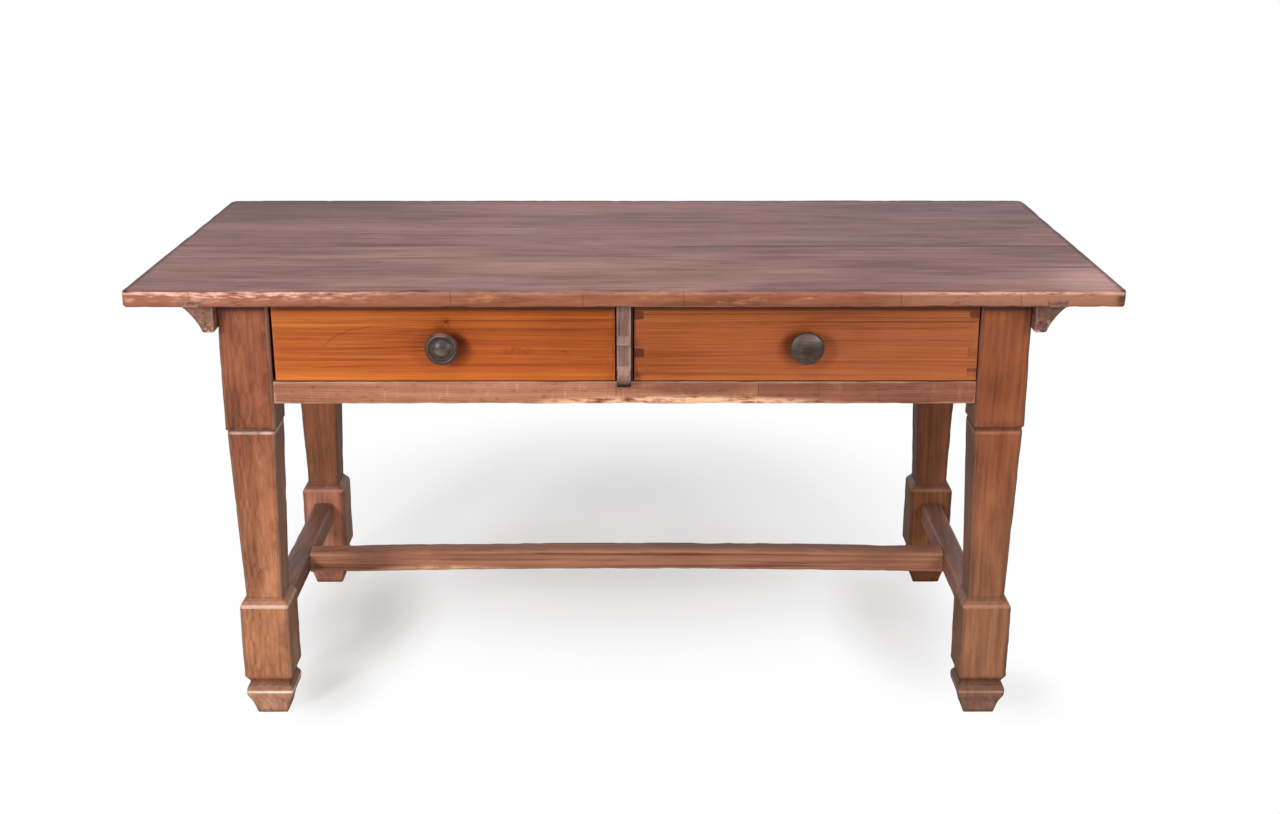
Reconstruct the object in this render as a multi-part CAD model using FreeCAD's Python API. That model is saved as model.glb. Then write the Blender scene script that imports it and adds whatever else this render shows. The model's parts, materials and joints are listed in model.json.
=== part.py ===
import FreeCAD, Part
import math
import os

# Farmhouse kitchen table with two drawers. Lengths are in millimetres.
# The origin lies on the floor under the middle of the top. X runs along the table to the right,
# Y runs to the back, so the drawers open towards minus Y, and Z points up.

# Whole table
table_height = 780.0

# Top of two boards with a tongue and groove along the seam
top_length = 1594.0
top_depth = 776.0
top_thickness = 28.0
top_end_overhang = 134.0
top_edge_overhang = 58.0
front_board_depth = 333.0
seam_gap = 0.8
tongue_thickness = 9.0
tongue_length = 10.0
tongue_end_room = 1.0
top_corner_radius = 8.0
top_rear_corner_radius = 20.0
top_edge_radius = 5.0
underside_edge_radius = 4.0

# Battens that slide into dovetail grooves under the top, outside the legs
batten_width = 51.0
batten_foot_width = 20.0
batten_height = 50.0
batten_setback = 34.0
batten_fillet_height = 8.0
batten_fillet_ledge = 3.0
batten_corner_radius = 6.0
batten_cove_depth = 2.5
dovetail_neck_width = 27.0
dovetail_top_width = 35.0
dovetail_height = 11.0
batten_peg_depth = 25.0

# Legs, from the top down to the floor
leg_stock = 84.0
leg_bevel = 3.0
groove_height = 534.0
groove_depth = 3.5
groove_slope_height = 4.0
groove_lip_height = 8.0
taper_top_width = 80.0
taper_bottom_width = 62.0
block_width = 84.0
block_over_height = 13.0
block_over_round = 6.5
block_height = 131.0
block_under_height = 13.0
block_under_round = 4.0
neck_width = 68.0
shoulder_height = 8.0
bead_width = 81.0
bead_lip_width = 76.0
bead_ledge = 1.5
bead_height = 22.0
cove_height = 22.0
cove_turn_share = 0.56
plinth_width = 53.0
plinth_top_width = 59.0
plinth_height = 12.0

# Rail under the drawers, and the aprons round the other three sides
drawer_opening_height = 140.0
rail_height = 38.0
rail_depth = 45.0
rail_tenon_thickness = 16.0
rail_tenon_shoulder = 5.0
apron_thickness = 26.0
apron_setback = 8.0
apron_tenon_thickness = 12.0
apron_tenon_low_shoulder = 15.0
apron_tenon_high_shoulder = 45.0
tenon_wall = 8.0
tenon_blind_wall = 25.0
mortise_end_room = 1.0

# Pegs that lock the tenons
peg_diameter = 9.0
peg_fit = 0.1
peg_overrun = 14.0
apron_peg_height_shares = (0.25, 0.75)

# Upright between the drawers, and the moulded strip on its front
post_width = 27.0
post_tenon_thickness = 14.0
post_foot_tenon = 14.0
post_head_tenon = 10.0
strip_width = 23.0
strip_offset = -1.2
strip_top_gap = 2.0
strip_overlap = 7.0
strip_flat_projection = 10.0
strip_lower_projection = 20.0
strip_upper_projection = 18.0
strip_foot_projection = 9.0
strip_round_height = 12.0
strip_lower_band_height = 8.0
strip_lower_flare_height = 17.0
strip_lower_flat_height = 33.0
strip_step_height = 3.0
strip_upper_flare_height = 16.0

# Runners under the drawers and the guides beside them
runner_thickness = 26.0
runner_bearing_width = 40.0
runner_tenon_thickness = 12.0
runner_tenon_length = 12.0
runner_tenon_shoulder = 8.0
guide_height = 28.0

# Stretchers in an H near the floor
stretcher_top_height = 181.0
stretcher_width = 40.0
stretcher_height = 41.0
stretcher_bevel = 4.0
stretcher_camber = 7.0
stretcher_tenon_thickness = 14.0
stretcher_tenon_shoulder = 5.0
stretcher_peg_cover = 9.0

# Drawers
drawer_side_gap = 2.0
drawer_run_gap = 0.3
drawer_back_gap = 3.0
drawer_front_thickness = 22.0
drawer_front_gap_under = 1.5
drawer_front_gap_over = 3.5
drawer_front_bevel = 1.2
drawer_side_thickness = 16.0
drawer_side_gap_over = 6.0
drawer_back_thickness = 14.0
drawer_back_inset = 8.0
drawer_back_housing = 5.0
drawer_back_drop = 6.0
drawer_bottom_thickness = 8.0
drawer_bottom_rise = 8.0
drawer_bottom_groove = 6.0
tail_tip_height = 15.0
tail_root_height = 11.0
tail_lap = 7.0
tail_height_shares = (0.114, 0.368, 0.843)
nail_shank_diameter = 2.4
nail_head_diameter = 6.0
nail_head_thickness = 1.2
nail_length = 22.0
nail_place_shares = (0.1, 0.37, 0.63, 0.9)

# Turned knobs
knob_diameter = 55.0
knob_stem_diameter = 24.0
knob_waist_diameter = 20.0
knob_stem_length = 15.0
knob_back_slope = 5.0
knob_rim_height = 8.0
knob_rim_round = 2.5
knob_dome_height = 5.0
knob_spigot_diameter = 16.0
knob_spigot_fit = 0.1
knob_ring_width = 5.0
knob_ring_height = 3.0
knob_button_diameter = 30.0
knob_button_height = 5.0
knob_drop = 6.0

# Two faces nearer than this lie in one plane
same_plane = 1e-6

# Places that follow from the sizes above
top_under = table_height - top_thickness
top_half_length = top_length / 2
top_half_depth = top_depth / 2
seam_y = -top_half_depth + front_board_depth
half_length = top_half_length - top_end_overhang
half_depth = top_half_depth - top_edge_overhang
front_y = -half_depth
leg_x = half_length - leg_stock / 2
leg_y = half_depth - leg_stock / 2
leg_inner_x = half_length - leg_stock
leg_inner_y = half_depth - leg_stock
block_inner_y = leg_y - block_width / 2
block_outer_x = leg_x + block_width / 2
rail_top = top_under - drawer_opening_height
rail_bottom = rail_top - rail_height
rail_back = front_y + rail_depth
apron_inner_x = half_length - apron_setback - apron_thickness
apron_mid_x = apron_inner_x + apron_thickness / 2
apron_mid_y = half_depth - apron_setback - apron_thickness / 2
back_apron_front = apron_mid_y - apron_thickness / 2
apron_tenon_low = rail_bottom + apron_tenon_low_shoulder
apron_tenon_high = top_under - apron_tenon_high_shoulder
cross_tenon_end_x = apron_mid_x - apron_tenon_thickness / 2 - tenon_wall
side_tenon_end_y = half_depth - tenon_blind_wall
stretcher_bottom_height = stretcher_top_height - stretcher_height
stretcher_tenon_end_y = leg_y + block_width / 2 - tenon_blind_wall
runner_bottom = rail_top - runner_thickness
centre_runner_half = post_width / 2 + runner_bearing_width
drawer_front_back_y = front_y + drawer_front_thickness
drawer_rear_y = back_apron_front - drawer_back_gap
peg_hole_diameter = peg_diameter + 2 * peg_fit


def point(x, y, z):
    return FreeCAD.Vector(x, y, z)


def span(middle, size):
    """Low and high end of a size centred on a place."""
    return (middle - size / 2, middle + size / 2)


def box(x_span, y_span, z_span):
    """Box between the ends of three spans, given in either order."""
    low = point(min(x_span), min(y_span), min(z_span))
    high = point(max(x_span), max(y_span), max(z_span))
    size = high - low
    return Part.makeBox(size.x, size.y, size.z, low)


def prism(corners, sweep):
    """Straight-sided outline swept along a vector."""
    return Part.Face(Part.makePolygon(corners + corners[:1])).extrude(sweep)


def rod(start, end, diameter):
    way = end - start
    return Part.makeCylinder(diameter / 2, way.Length, start, way)


def fused(*shapes):
    return shapes[0].multiFuse(list(shapes[1:])).removeSplitter()


def line(start, end):
    return Part.LineSegment(start, end).toShape()


def arc(start, middle, end):
    return Part.Arc(start, middle, end).toShape()


def swept(edges, sweep):
    """Outline of lines and arcs swept along a vector."""
    return Part.Face(Part.Wire(Part.__sortEdges__(edges))).extrude(sweep)


def bowed_middle(start, end, bow):
    """Middle of an arc between two points, set off to the left of the way by the bow."""
    way = end - start
    level = point(-way.z, 0, way.x)
    return (start + end) * 0.5 + level * (bow / way.Length)


def bevelled_beam(x_span, y_span, z_span, bevel, along_x):
    """Rectangular beam with its four long edges bevelled."""
    beam = box(x_span, y_span, z_span)
    long_edges = []
    for edge in beam.Edges:
        reach = edge.BoundBox.XLength if along_x else edge.BoundBox.YLength
        if reach > same_plane:
            long_edges.append(edge)
    return beam.makeChamfer(bevel, long_edges)


# Legs


def rounded_turn(before, corner, after, reach):
    """A corner of an outline rounded off over a reach on both sides, in the outline's own form."""

    def toward(place):
        way = (place[0] - corner[0], place[1] - corner[1])
        length = math.hypot(*way)
        return (way[0] / length, way[1] / length)

    def off(way, distance):
        return (corner[0] + way[0] * distance, corner[1] + way[1] * distance)

    back = toward(before)
    ahead = toward(after)
    half_angle = math.acos(back[0] * ahead[0] + back[1] * ahead[1]) / 2
    radius = reach * math.tan(half_angle)
    inward = toward((corner[0] + back[0] + ahead[0], corner[1] + back[1] + ahead[1]))
    middle = off(inward, radius / math.sin(half_angle) - radius)
    return [(None, off(back, reach)), (middle, off(ahead, reach))]


def leg_outline():
    """Half outline of a leg from the floor up: (arc middle or None, end), each (half width, height)."""
    bead_low = plinth_height + cove_height
    bead_high = bead_low + bead_height
    neck_height = bead_high + shoulder_height
    block_low = neck_height + block_under_height
    block_high = block_low + block_height
    plinth_half = plinth_top_width / 2
    lip_half = bead_lip_width / 2
    neck = (neck_width / 2, neck_height)
    block_foot = (block_width / 2, block_low)
    block_head = (block_width / 2, block_high)
    taper_foot = (taper_bottom_width / 2, block_high + block_over_height)
    cove_middle = (
        lip_half - (lip_half - plinth_half) * cove_turn_share,
        plinth_height + cove_height * cove_turn_share,
    )
    groove_low = groove_height - groove_slope_height
    return [
        (None, (plinth_width / 2, 0)),
        (None, (plinth_half, plinth_height)),
        (cove_middle, (lip_half, bead_low)),
        ((bead_width / 2, bead_low + bead_height / 2), (lip_half, bead_high)),
        (None, (lip_half - bead_ledge, bead_high)),
        (None, neck),
        *rounded_turn(neck, block_foot, block_head, block_under_round),
        *rounded_turn(block_foot, block_head, taper_foot, block_over_round),
        (None, taper_foot),
        (None, (taper_top_width / 2, groove_low - groove_lip_height)),
        (None, (leg_stock / 2 - groove_depth, groove_low)),
        (None, (leg_stock / 2, groove_height)),
        (None, (leg_stock / 2, top_under)),
    ]


def leg_slab(outline, turn):
    """The leg's outline swept level through the leg, then turned about the leg's axis."""
    reach = point(0, leg_stock, 0)
    edges = []
    for side in (-1, 1):
        for (_, start), (middle, end) in zip(outline, outline[1:]):
            first = point(side * start[0], 0, start[1])
            last = point(side * end[0], 0, end[1])
            if middle:
                edges.append(arc(first, point(side * middle[0], 0, middle[1]), last))
            else:
                edges.append(line(first, last))
    for half, height in (outline[0][1], outline[-1][1]):
        edges.append(line(point(-half, 0, height), point(half, 0, height)))
    slab = swept(edges, reach * 2)
    slab.translate(reach * -1)
    slab.rotate(point(0, 0, 0), point(0, 0, 1), turn)
    return slab


def corner_outline(outline):
    """The leg's outline seen across its corners, drawn in by the bevel."""

    def across(place):
        half, height = place
        return (half * math.sqrt(2) - leg_bevel / math.sqrt(2), height)

    return [(middle and across(middle), across(end)) for middle, end in outline]


def plain_leg():
    faces = leg_outline()
    corners = corner_outline(faces)
    leg = leg_slab(faces, 0)
    for slab in (leg_slab(faces, 90), leg_slab(corners, 45), leg_slab(corners, 135)):
        leg = leg.common(slab)
    return leg.removeSplitter()


# Tenons, each also the mortise in the piece that takes it when it is given end room


def side_apron_tenon(side, end, room=0):
    return box(
        span(side * apron_mid_x, apron_tenon_thickness),
        (end * leg_inner_y, end * (side_tenon_end_y + room)),
        (apron_tenon_low, apron_tenon_high),
    )


def back_apron_tenon(side, room=0):
    return box(
        (side * leg_inner_x, side * (cross_tenon_end_x + room)),
        span(apron_mid_y, apron_tenon_thickness),
        (apron_tenon_low, apron_tenon_high),
    )


def front_rail_tenon(side, room=0):
    return box(
        (side * leg_inner_x, side * (cross_tenon_end_x + room)),
        span(front_y + rail_depth / 2, rail_tenon_thickness),
        (rail_bottom + rail_tenon_shoulder, rail_top - rail_tenon_shoulder),
    )


def end_stretcher_tenon(side, end, room=0):
    return box(
        span(side * leg_x, stretcher_tenon_thickness),
        (end * block_inner_y, end * (stretcher_tenon_end_y + room)),
        (stretcher_bottom_height + stretcher_tenon_shoulder, stretcher_top_height - stretcher_tenon_shoulder),
    )


def long_stretcher_tenon(side):
    """Runs right through the end stretcher and ends flush with its outer face."""
    return box(
        (side * (leg_x - stretcher_width / 2), side * (leg_x + stretcher_width / 2)),
        span(0, stretcher_tenon_thickness),
        (stretcher_bottom_height + stretcher_tenon_shoulder, stretcher_top_height - stretcher_tenon_shoulder),
    )


def post_foot(room=0):
    return box(
        span(0, post_width),
        span(front_y + rail_depth / 2, post_tenon_thickness),
        (rail_top - post_foot_tenon - room, rail_top),
    )


def post_head(room=0):
    return box(
        span(0, post_width),
        span(front_y + rail_depth / 2, post_tenon_thickness),
        (top_under, top_under + post_head_tenon + room),
    )


def runner_tenons(x_span, room=0):
    """Front and rear tenon of a runner that bears over the given width."""
    middle = (x_span[0] + x_span[1]) / 2
    width = abs(x_span[1] - x_span[0]) - 2 * runner_tenon_shoulder
    height = span(rail_top - runner_thickness / 2, runner_tenon_thickness)
    reach = runner_tenon_length + room
    return [
        box(span(middle, width), (rail_back - reach, rail_back), height),
        box(span(middle, width), (back_apron_front, back_apron_front + reach), height),
    ]


def side_runner_span(side):
    return (side * (leg_inner_x - runner_bearing_width), side * leg_inner_x)


centre_runner_span = (-centre_runner_half, centre_runner_half)


# Pegs, each drawn at the peg's size or at the size of its hole


def side_apron_peg(side, end, share, diameter):
    y = end * (leg_inner_y + side_tenon_end_y) / 2
    z = apron_tenon_low + share * (apron_tenon_high - apron_tenon_low)
    inner_x = apron_mid_x - apron_tenon_thickness / 2 - peg_overrun
    return rod(point(side * half_length, y, z), point(side * inner_x, y, z), diameter)


def back_apron_peg(side, share, diameter):
    x = side * (leg_inner_x + cross_tenon_end_x) / 2
    z = apron_tenon_low + share * (apron_tenon_high - apron_tenon_low)
    inner_y = apron_mid_y - apron_tenon_thickness / 2 - peg_overrun
    return rod(point(x, half_depth, z), point(x, inner_y, z), diameter)


def end_stretcher_peg(side, end, diameter):
    y = end * (block_inner_y + stretcher_tenon_end_y) / 2
    z = stretcher_top_height - stretcher_height / 2
    inner_x = leg_x - stretcher_tenon_thickness / 2 - peg_overrun
    return rod(point(side * block_outer_x, y, z), point(side * inner_x, y, z), diameter)


def long_stretcher_peg(side, diameter):
    """Driven up from below, so it stops short of the upper face."""
    low = point(side * leg_x, 0, stretcher_bottom_height)
    high = point(side * leg_x, 0, stretcher_top_height - stretcher_peg_cover)
    return rod(low, high, diameter)


def batten_peg(side, end, diameter):
    z = top_under - batten_height / 2
    inner = point(side * (half_length - batten_peg_depth), end * leg_y, z)
    outer = point(side * (half_length + batten_width), end * leg_y, z)
    return rod(inner, outer, diameter)


# Pieces of the frame


def leg(side, end):
    """Leg at one corner: side is -1 on the left and 1 on the right, end is -1 in front and 1 behind."""
    post = plain_leg()
    post.translate(point(side * leg_x, end * leg_y, 0))
    cuts = [side_apron_tenon(side, end, mortise_end_room), end_stretcher_tenon(side, end, mortise_end_room)]
    for share in apron_peg_height_shares:
        cuts.append(side_apron_peg(side, end, share, peg_hole_diameter))
        if end > 0:
            cuts.append(back_apron_peg(side, share, peg_hole_diameter))
    if end > 0:
        cuts.append(back_apron_tenon(side, mortise_end_room))
    else:
        cuts.append(front_rail_tenon(side, mortise_end_room))
    cuts.append(end_stretcher_peg(side, end, peg_hole_diameter))
    cuts.append(batten_peg(side, end, peg_hole_diameter))
    return post.cut(cuts)


def side_apron(side):
    board = box(
        (side * apron_inner_x, side * (apron_inner_x + apron_thickness)),
        (-leg_inner_y, leg_inner_y),
        (rail_bottom, top_under),
    )
    apron = fused(board, side_apron_tenon(side, -1), side_apron_tenon(side, 1))
    holes = []
    for end in (-1, 1):
        for share in apron_peg_height_shares:
            holes.append(side_apron_peg(side, end, share, peg_hole_diameter))
    return apron.cut(holes)


def back_apron():
    board = box((-leg_inner_x, leg_inner_x), span(apron_mid_y, apron_thickness), (rail_bottom, top_under))
    apron = fused(board, back_apron_tenon(-1), back_apron_tenon(1))
    cuts = []
    for side in (-1, 1):
        cuts.append(runner_tenons(side_runner_span(side), mortise_end_room)[1])
        for share in apron_peg_height_shares:
            cuts.append(back_apron_peg(side, share, peg_hole_diameter))
    cuts.append(runner_tenons(centre_runner_span, mortise_end_room)[1])
    return apron.cut(cuts)


def front_rail():
    bar = box((-leg_inner_x, leg_inner_x), (front_y, rail_back), (rail_bottom, rail_top))
    rail = fused(bar, front_rail_tenon(-1), front_rail_tenon(1))
    cuts = [post_foot(mortise_end_room), runner_tenons(centre_runner_span, mortise_end_room)[0]]
    for side in (-1, 1):
        cuts.append(runner_tenons(side_runner_span(side), mortise_end_room)[0])
    return rail.cut(cuts)


def divider_post():
    upright = box(span(0, post_width), (front_y, rail_back), (rail_top, top_under))
    return fused(upright, post_foot(), post_head())


def divider_moulding():
    """Strip seen from the side: a rounded foot, a flare, a flat, a step, another flare and a flat."""
    low = rail_top - strip_overlap
    round_top = low + strip_round_height
    band_top = round_top + strip_lower_band_height
    flare_top = band_top + strip_lower_flare_height
    flat_top = flare_top + strip_lower_flat_height
    step_top = flat_top + strip_step_height
    upper_top = step_top + strip_upper_flare_height
    left = strip_offset - strip_width / 2

    def at(projection, height):
        return point(left, front_y - projection, height)

    foot_turn_share = math.sqrt(0.5)
    foot_reach = strip_lower_projection - strip_foot_projection
    foot_middle = at(
        strip_foot_projection + foot_reach * foot_turn_share,
        round_top - strip_round_height * foot_turn_share,
    )
    path = [
        at(strip_lower_projection, round_top),
        at(strip_lower_projection, band_top),
        at(strip_flat_projection, flare_top),
        at(strip_flat_projection, flat_top),
        at(strip_upper_projection, step_top),
        at(strip_flat_projection, upper_top),
        at(strip_flat_projection, top_under - strip_top_gap),
        at(0, top_under - strip_top_gap),
        at(0, low),
        at(strip_foot_projection, low),
    ]
    edges = [line(start, end) for start, end in zip(path, path[1:])]
    edges.append(arc(path[-1], foot_middle, path[0]))
    return swept(edges, point(strip_width, 0, 0))


def side_runner(side):
    """Bearing strip from rail to apron, widened between the legs to meet the side apron."""
    height = (runner_bottom, rail_top)
    bearing = box(side_runner_span(side), (rail_back, back_apron_front), height)
    wing = box((side * leg_inner_x, side * apron_inner_x), (-leg_inner_y, leg_inner_y), height)
    return fused(bearing, wing, *runner_tenons(side_runner_span(side)))


def side_guide(side):
    return box(
        (side * leg_inner_x, side * apron_inner_x),
        (-leg_inner_y, leg_inner_y),
        (rail_top, rail_top + guide_height),
    )


def centre_runner():
    board = box(centre_runner_span, (rail_back, back_apron_front), (runner_bottom, rail_top))
    return fused(board, *runner_tenons(centre_runner_span))


def centre_guide():
    return box(span(0, post_width), (rail_back, back_apron_front), (rail_top, rail_top + guide_height))


# Pieces of the base


def end_stretcher(side):
    bar = bevelled_beam(
        span(side * leg_x, stretcher_width),
        (-block_inner_y, block_inner_y),
        (stretcher_bottom_height, stretcher_top_height),
        stretcher_bevel,
        False,
    )
    stretcher = fused(bar, end_stretcher_tenon(side, -1), end_stretcher_tenon(side, 1))
    cuts = [long_stretcher_tenon(side), long_stretcher_peg(side, peg_hole_diameter)]
    for end in (-1, 1):
        cuts.append(end_stretcher_peg(side, end, peg_hole_diameter))
    return stretcher.cut(cuts)


def long_stretcher():
    """Bar with a slight rise in the middle of its length."""
    half = leg_x - stretcher_width / 2
    low_left = point(-half, 0, stretcher_bottom_height)
    low_right = point(half, 0, stretcher_bottom_height)
    rise = point(0, 0, stretcher_height)
    low_middle = bowed_middle(low_left, low_right, stretcher_camber)
    edges = [
        arc(low_left, low_middle, low_right),
        line(low_right, low_right + rise),
        arc(low_left + rise, low_middle + rise, low_right + rise),
        line(low_left + rise, low_left),
    ]
    bar = swept(edges, point(0, stretcher_width, 0))
    bar.translate(point(0, -stretcher_width / 2, 0))
    long_edges = [edge for edge in bar.Edges if edge.BoundBox.XLength > stretcher_width]
    bar = bar.makeChamfer(stretcher_bevel, long_edges)
    stretcher = fused(bar, long_stretcher_tenon(-1), long_stretcher_tenon(1))
    return stretcher.cut([long_stretcher_peg(side, peg_hole_diameter) for side in (-1, 1)])


# Top and battens


def rounded_board(outer_y, inner_y, corner_radius):
    """Board with worn outer corners and edges, left square along the seam."""
    board = box((-top_half_length, top_half_length), (outer_y, inner_y), (top_under, table_height))
    corners = [
        edge
        for edge in board.Edges
        if edge.BoundBox.ZLength > same_plane and abs(edge.BoundBox.YMin - outer_y) < same_plane
    ]
    board = board.makeFillet(corner_radius, corners)
    for level, radius in ((table_height, top_edge_radius), (top_under, underside_edge_radius)):
        rim = []
        for edge in board.Edges:
            bounds = edge.BoundBox
            level_edge = abs(bounds.ZMin - level) < same_plane and abs(bounds.ZMax - level) < same_plane
            seam_edge = abs(bounds.YMin - inner_y) < same_plane and abs(bounds.YMax - inner_y) < same_plane
            if level_edge and not seam_edge:
                rim.append(edge)
        board = board.makeFillet(radius, rim)
    return board


def seam_tongue(room=0):
    """Tongue of the rear board, or its groove in the front board."""
    middle_z = top_under + top_thickness / 2
    seam_back = seam_y + seam_gap
    return box(
        (-top_half_length - room, top_half_length + room),
        (seam_y - tongue_length - room, seam_back),
        span(middle_z, tongue_thickness),
    )


def dovetail(side):
    """Sliding tongue along the top of a batten, as deep as the top."""
    middle_x = side * (half_length + batten_width / 2)
    corners = [
        point(middle_x - dovetail_neck_width / 2, -top_half_depth, top_under),
        point(middle_x + dovetail_neck_width / 2, -top_half_depth, top_under),
        point(middle_x + dovetail_top_width / 2, -top_half_depth, top_under + dovetail_height),
        point(middle_x - dovetail_top_width / 2, -top_half_depth, top_under + dovetail_height),
    ]
    return prism(corners, point(0, top_depth, 0))


def plain_batten(side):
    """Batten before its peg holes: upright against the legs, hollowed on its outer side."""
    front = -top_half_depth + batten_setback

    def at(outward, drop):
        return point(side * (half_length + outward), front, top_under - drop)

    turn_share = math.sqrt(0.5)
    corner_low = at(batten_foot_width - batten_corner_radius, batten_height)
    corner_high = at(batten_foot_width, batten_height - batten_corner_radius)
    corner_middle = at(
        batten_foot_width - batten_corner_radius * (1 - turn_share),
        batten_height - batten_corner_radius * (1 - turn_share),
    )
    ledge_in = at(batten_width - batten_fillet_ledge, batten_fillet_height)
    ledge_out = at(batten_width, batten_fillet_height)
    cove_middle = bowed_middle(corner_high, ledge_in, side * batten_cove_depth)
    edges = [
        line(at(0, 0), at(0, batten_height)),
        line(at(0, batten_height), corner_low),
        arc(corner_low, corner_middle, corner_high),
        arc(corner_high, cove_middle, ledge_in),
        line(ledge_in, ledge_out),
        line(ledge_out, at(batten_width, 0)),
        line(at(batten_width, 0), at(0, 0)),
    ]
    bar = swept(edges, point(0, top_depth - 2 * batten_setback, 0))
    return fused(bar, dovetail(side))


def batten(side):
    return plain_batten(side).cut([batten_peg(side, end, peg_hole_diameter) for end in (-1, 1)])


def batten_pegs():
    """Pegs from the legs out through the battens, trimmed flush with the battens' outer sides."""
    pegs = []
    for side in (-1, 1):
        room_in_leg = box(
            (side * (half_length - leg_stock), side * half_length),
            (-half_depth, half_depth),
            (rail_top, top_under),
        )
        keep = room_in_leg.fuse(plain_batten(side))
        for end in (-1, 1):
            pegs.append(batten_peg(side, end, peg_diameter).common(keep).removeSplitter())
    return Part.makeCompound(pegs)


def top_boards():
    front = rounded_board(-top_half_depth, seam_y, top_corner_radius)
    rear = rounded_board(top_half_depth, seam_y + seam_gap, top_rear_corner_radius)
    rear = fused(rear, seam_tongue())
    grooves = [dovetail(-1), dovetail(1)]
    front = front.cut(grooves + [seam_tongue(tongue_end_room), post_head(mortise_end_room)])
    return front, rear.cut(grooves)


# Drawers


def drawer_span(side):
    """Width of one drawer, between the post and the leg, low end first."""
    ends = (side * (post_width / 2 + drawer_side_gap), side * (leg_inner_x - drawer_side_gap))
    return (min(ends), max(ends))


def drawer_tails(x_span, side_low, side_high, lap):
    """Dovetails on the front end of a drawer side, widest at their tips."""
    tip_y = front_y + lap
    tails = []
    for share in tail_height_shares:
        z = side_low + share * (side_high - side_low)
        corners = [
            point(x_span[0], drawer_front_back_y, z - tail_root_height / 2),
            point(x_span[0], tip_y, z - tail_tip_height / 2),
            point(x_span[0], tip_y, z + tail_tip_height / 2),
            point(x_span[0], drawer_front_back_y, z + tail_root_height / 2),
        ]
        tails.append(prism(corners, point(x_span[1] - x_span[0], 0, 0)))
    return tails


def cap_middle(radius, base, height):
    """Middle of the arc of a round cap, from its rim to its crown on the axis."""
    sphere = (radius * radius + height * height) / (2 * height)
    half_angle = math.asin(radius / sphere) / 2
    return (sphere * math.sin(half_angle), base + height - sphere * (1 - math.cos(half_angle)))


def knob_outline(ringed):
    """Half outline of a knob: (arc middle or None, end), each (radius, distance out of the front)."""
    radius = knob_diameter / 2
    rim_inner = radius - knob_rim_round
    head_back = knob_stem_length + knob_back_slope
    head_front = head_back + knob_rim_height
    stem = knob_stem_diameter / 2
    spigot = knob_spigot_diameter / 2
    outline = [
        (None, (0, -drawer_front_thickness)),
        (None, (spigot, -drawer_front_thickness)),
        (None, (spigot, 0)),
        (None, (stem, 0)),
        ((knob_waist_diameter / 2, knob_stem_length / 2), (stem, knob_stem_length)),
        (None, (rim_inner, head_back)),
        ((radius, head_back + knob_rim_height / 2), (rim_inner, head_front)),
    ]
    cap_radius = rim_inner
    cap_height = knob_dome_height
    if ringed:
        ring_inner = rim_inner - knob_ring_width
        ring_crown = (rim_inner - knob_ring_width / 2, head_front + knob_ring_height)
        cap_radius = knob_button_diameter / 2
        cap_height = knob_button_height
        outline += [(ring_crown, (ring_inner, head_front)), (None, (cap_radius, head_front))]
    crown = (0, head_front + cap_height)
    return outline + [(cap_middle(cap_radius, head_front, cap_height), crown)]


def knob(x, z, ringed):
    """Turned knob on the drawer's face: one with a rim ring and a button, the other domed."""
    outline = knob_outline(ringed)

    def place(radius, distance):
        return point(radius, -distance, 0)

    edges = []
    for (_, start), (middle, end) in zip(outline, outline[1:]):
        if middle:
            edges.append(arc(place(*start), place(*middle), place(*end)))
        else:
            edges.append(line(place(*start), place(*end)))
    edges.append(line(place(*outline[-1][1]), place(*outline[0][1])))
    turned = Part.Face(Part.Wire(edges)).revolve(point(0, 0, 0), point(0, 1, 0), 360)
    turned.translate(point(x, front_y, z))
    return turned


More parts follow.
